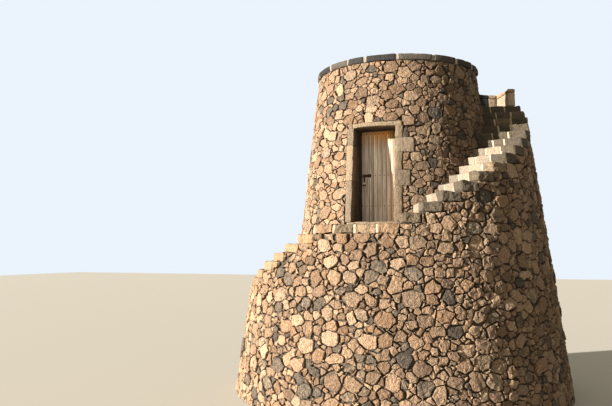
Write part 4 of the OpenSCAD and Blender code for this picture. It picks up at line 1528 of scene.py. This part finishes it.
class TOWER_OT_stair_head(bpy.types.Operator):
    """Builds the low guard round the stair head and the wall that ends it"""

    bl_idname = "tower.stair_head"
    bl_label = "Stair head"

    def execute(self, context):
        pale = Blocks(np.random.default_rng(seed=83))
        dark = Blocks(np.random.default_rng(seed=89))
        chance = pale.chance
        stone = 300 * MM
        for node, across in (("stair_head_guard", 1), ("stair_head_end_wall", 3)):
            for first, last, bottom, top, inner, outer in sectors(node):
                turn, depth, height = last - first, outer - inner, top - bottom
                for a, b in shares_of(chance.uniform(0.7, 1.4, max(1, round(turn * outer / stone)))):
                    for c, d in shares_of(chance.uniform(0.8, 1.3, across)):
                        split = chance.uniform(0.72, 0.82)
                        for e, f in ((0, split), (split, chance.uniform(0.93, 1.0))):

                            def place(u, v, w, a=a, b=b, c=c, d=d, e=e, f=f):
                                angle = first + (a + (b - a) * (0.02 + 0.96 * u)) * turn
                                radius = inner + (c + (d - c) * (0.015 + 0.97 * v)) * depth
                                z = bottom + (e + (f - e) * (0.02 + 0.96 * w)) * height
                                return polar(radius, angle, z)

                            size = ((b - a) * turn * outer, (d - c) * depth, (f - e) * height)
                            # The end wall's stones but the outermost are dark basalt, painted as the drum's
                            # shadow on it, and the guard's cap stones are the orange-brown ones
                            basalt = node == "stair_head_end_wall" and d < 0.9
                            capped = node == "stair_head_guard" and e > 0
                            tone = chance.uniform(0.7, 1) if basalt or capped else chance.uniform(0, 0.3)
                            blocks = dark if basalt else pale
                            blocks.add(place, size, 14 * MM, cell=50 * MM, lump=9 * MM, tone=tone)
        finish_piece("stair_head_pale_stones", pale.mesh(), once(guard_material),
                     ("stair_head_guard",))
        finish_piece("stair_head_dark_stones", dark.mesh(), once(coping_material),
                     ("stair_head_end_wall",))
        return {"FINISHED"}


def add_sun(name, energy, spread, code, side, height):
    """Adds a sun lamp that shines from an angle left of the doorway and a height above the horizon."""
    lamp = bpy.data.lights.new(name, "SUN")
    lamp.energy = energy
    lamp.angle = spread
    lamp.color = linear(code)[:3]
    made = link(name, lamp)
    level = math.cos(height)
    towards = Vector((-math.sin(side) * level, -math.cos(side) * level, math.sin(height)))
    made.rotation_mode = "QUATERNION"
    made.rotation_quaternion = towards.to_track_quat("Z", "Y")


class TOWER_OT_stage(bpy.types.Operator):
    """Sets the plain floor, the soft studio light and the camera"""

    bl_idname = "tower.stage"
    bl_label = "Studio"

    def execute(self, context):
        scene = context.scene
        half = sizes().floor_size / 2
        ground = bpy.data.meshes.new("studio_floor")
        ring = [(-half, -half, 0), (half, -half, 0), (half, half, 0), (-half, half, 0)]
        ground.from_pydata(ring, [], [(0, 1, 2, 3)])
        paper, tree, _ = new_material("matt_paper")
        shader = add(tree, "ShaderNodeBsdfPrincipled",
                     {"Base Color": linear(colours().floor), "Roughness": 0.95})
        add(tree, "ShaderNodeOutputMaterial", {0: shader})
        ground.materials.append(paper)
        floor = link("studio_floor", ground)
        world = bpy.data.worlds.new("studio")
        world.use_nodes = True
        tree = world.node_tree
        tree.nodes.clear()
        # The plain backdrop is brighter than the fill light that falls on the tower
        seen = add(tree, "ShaderNodeLightPath")
        fill = add(tree, "ShaderNodeBackground", {0: linear(colours().fill), 1: 0.54})
        backdrop = add(tree, "ShaderNodeBackground", {0: linear(colours().sky), 1: 1.0})
        glow = add(tree, "ShaderNodeMixShader", {0: seen, 1: fill, 2: backdrop})
        add(tree, "ShaderNodeOutputWorld", {0: glow})
        scene.world = world
        add_sun("key_light", 17.6, math.radians(1.5), colours().sun, sizes().sun_side, sizes().sun_height)
        # A weak, wide light from the front lifts the boards in the deep doorway
        add_sun("front_light", 0.5, math.radians(50), colours().fill, math.radians(8), math.radians(10))
        # The photograph's view: an eye 2.9 m above the tower's foot, right of the doorway
        azimuth, distance, eye = math.radians(13.9), 14.58, 2.916
        turn, pitch = math.radians(21.81), math.radians(4.13)
        lens = bpy.data.cameras.new("camera")
        lens.sensor_width = 36.0
        lens.lens = 39.07
        camera = link("camera", lens)
        camera.location = polar(distance, azimuth, eye)
        camera.rotation_euler = (math.pi / 2 + pitch, 0.0, turn)
        scene.camera = camera
        scene.view_settings.view_transform = "Standard"
        return {"FINISHED"}


class TOWER_PT_panel(bpy.types.Panel):
    """Lists the tower's sizes, colours and operators"""

    bl_label = "Tower"
    bl_idname = "TOWER_PT_panel"
    bl_space_type = "VIEW_3D"
    bl_region_type = "UI"
    bl_category = "Tower"

    def draw(self, context):
        for group in (context.scene.tower_sizes, context.scene.tower_colours):
            box = self.layout.box()
            for name in group.__annotations__:
                box.prop(group, name)
        for operator in OPERATORS:
            self.layout.operator(operator.bl_idname)


OPERATORS = (
    TOWER_OT_cores, TOWER_OT_drum_rubble, TOWER_OT_stair_rubble, TOWER_OT_steps, TOWER_OT_coping,
    TOWER_OT_doorway, TOWER_OT_door, TOWER_OT_roof, TOWER_OT_stair_head, TOWER_OT_stage,
)
CLASSES = (TowerSizes, TowerColours, *OPERATORS, TOWER_PT_panel)


def register():
    for cls in CLASSES:
        bpy.utils.register_class(cls)
    bpy.types.Scene.tower_sizes = bpy.props.PointerProperty(type=TowerSizes)
    bpy.types.Scene.tower_colours = bpy.props.PointerProperty(type=TowerColours)


def unregister():
    del bpy.types.Scene.tower_colours
    del bpy.types.Scene.tower_sizes
    for cls in reversed(CLASSES):
        bpy.utils.unregister_class(cls)


def main():
    """Builds the whole tower."""
    register()
    for operator in OPERATORS:
        group, name = operator.bl_idname.split(".")
        getattr(getattr(bpy.ops, group), name)()


if __name__ == "__main__":
    main()
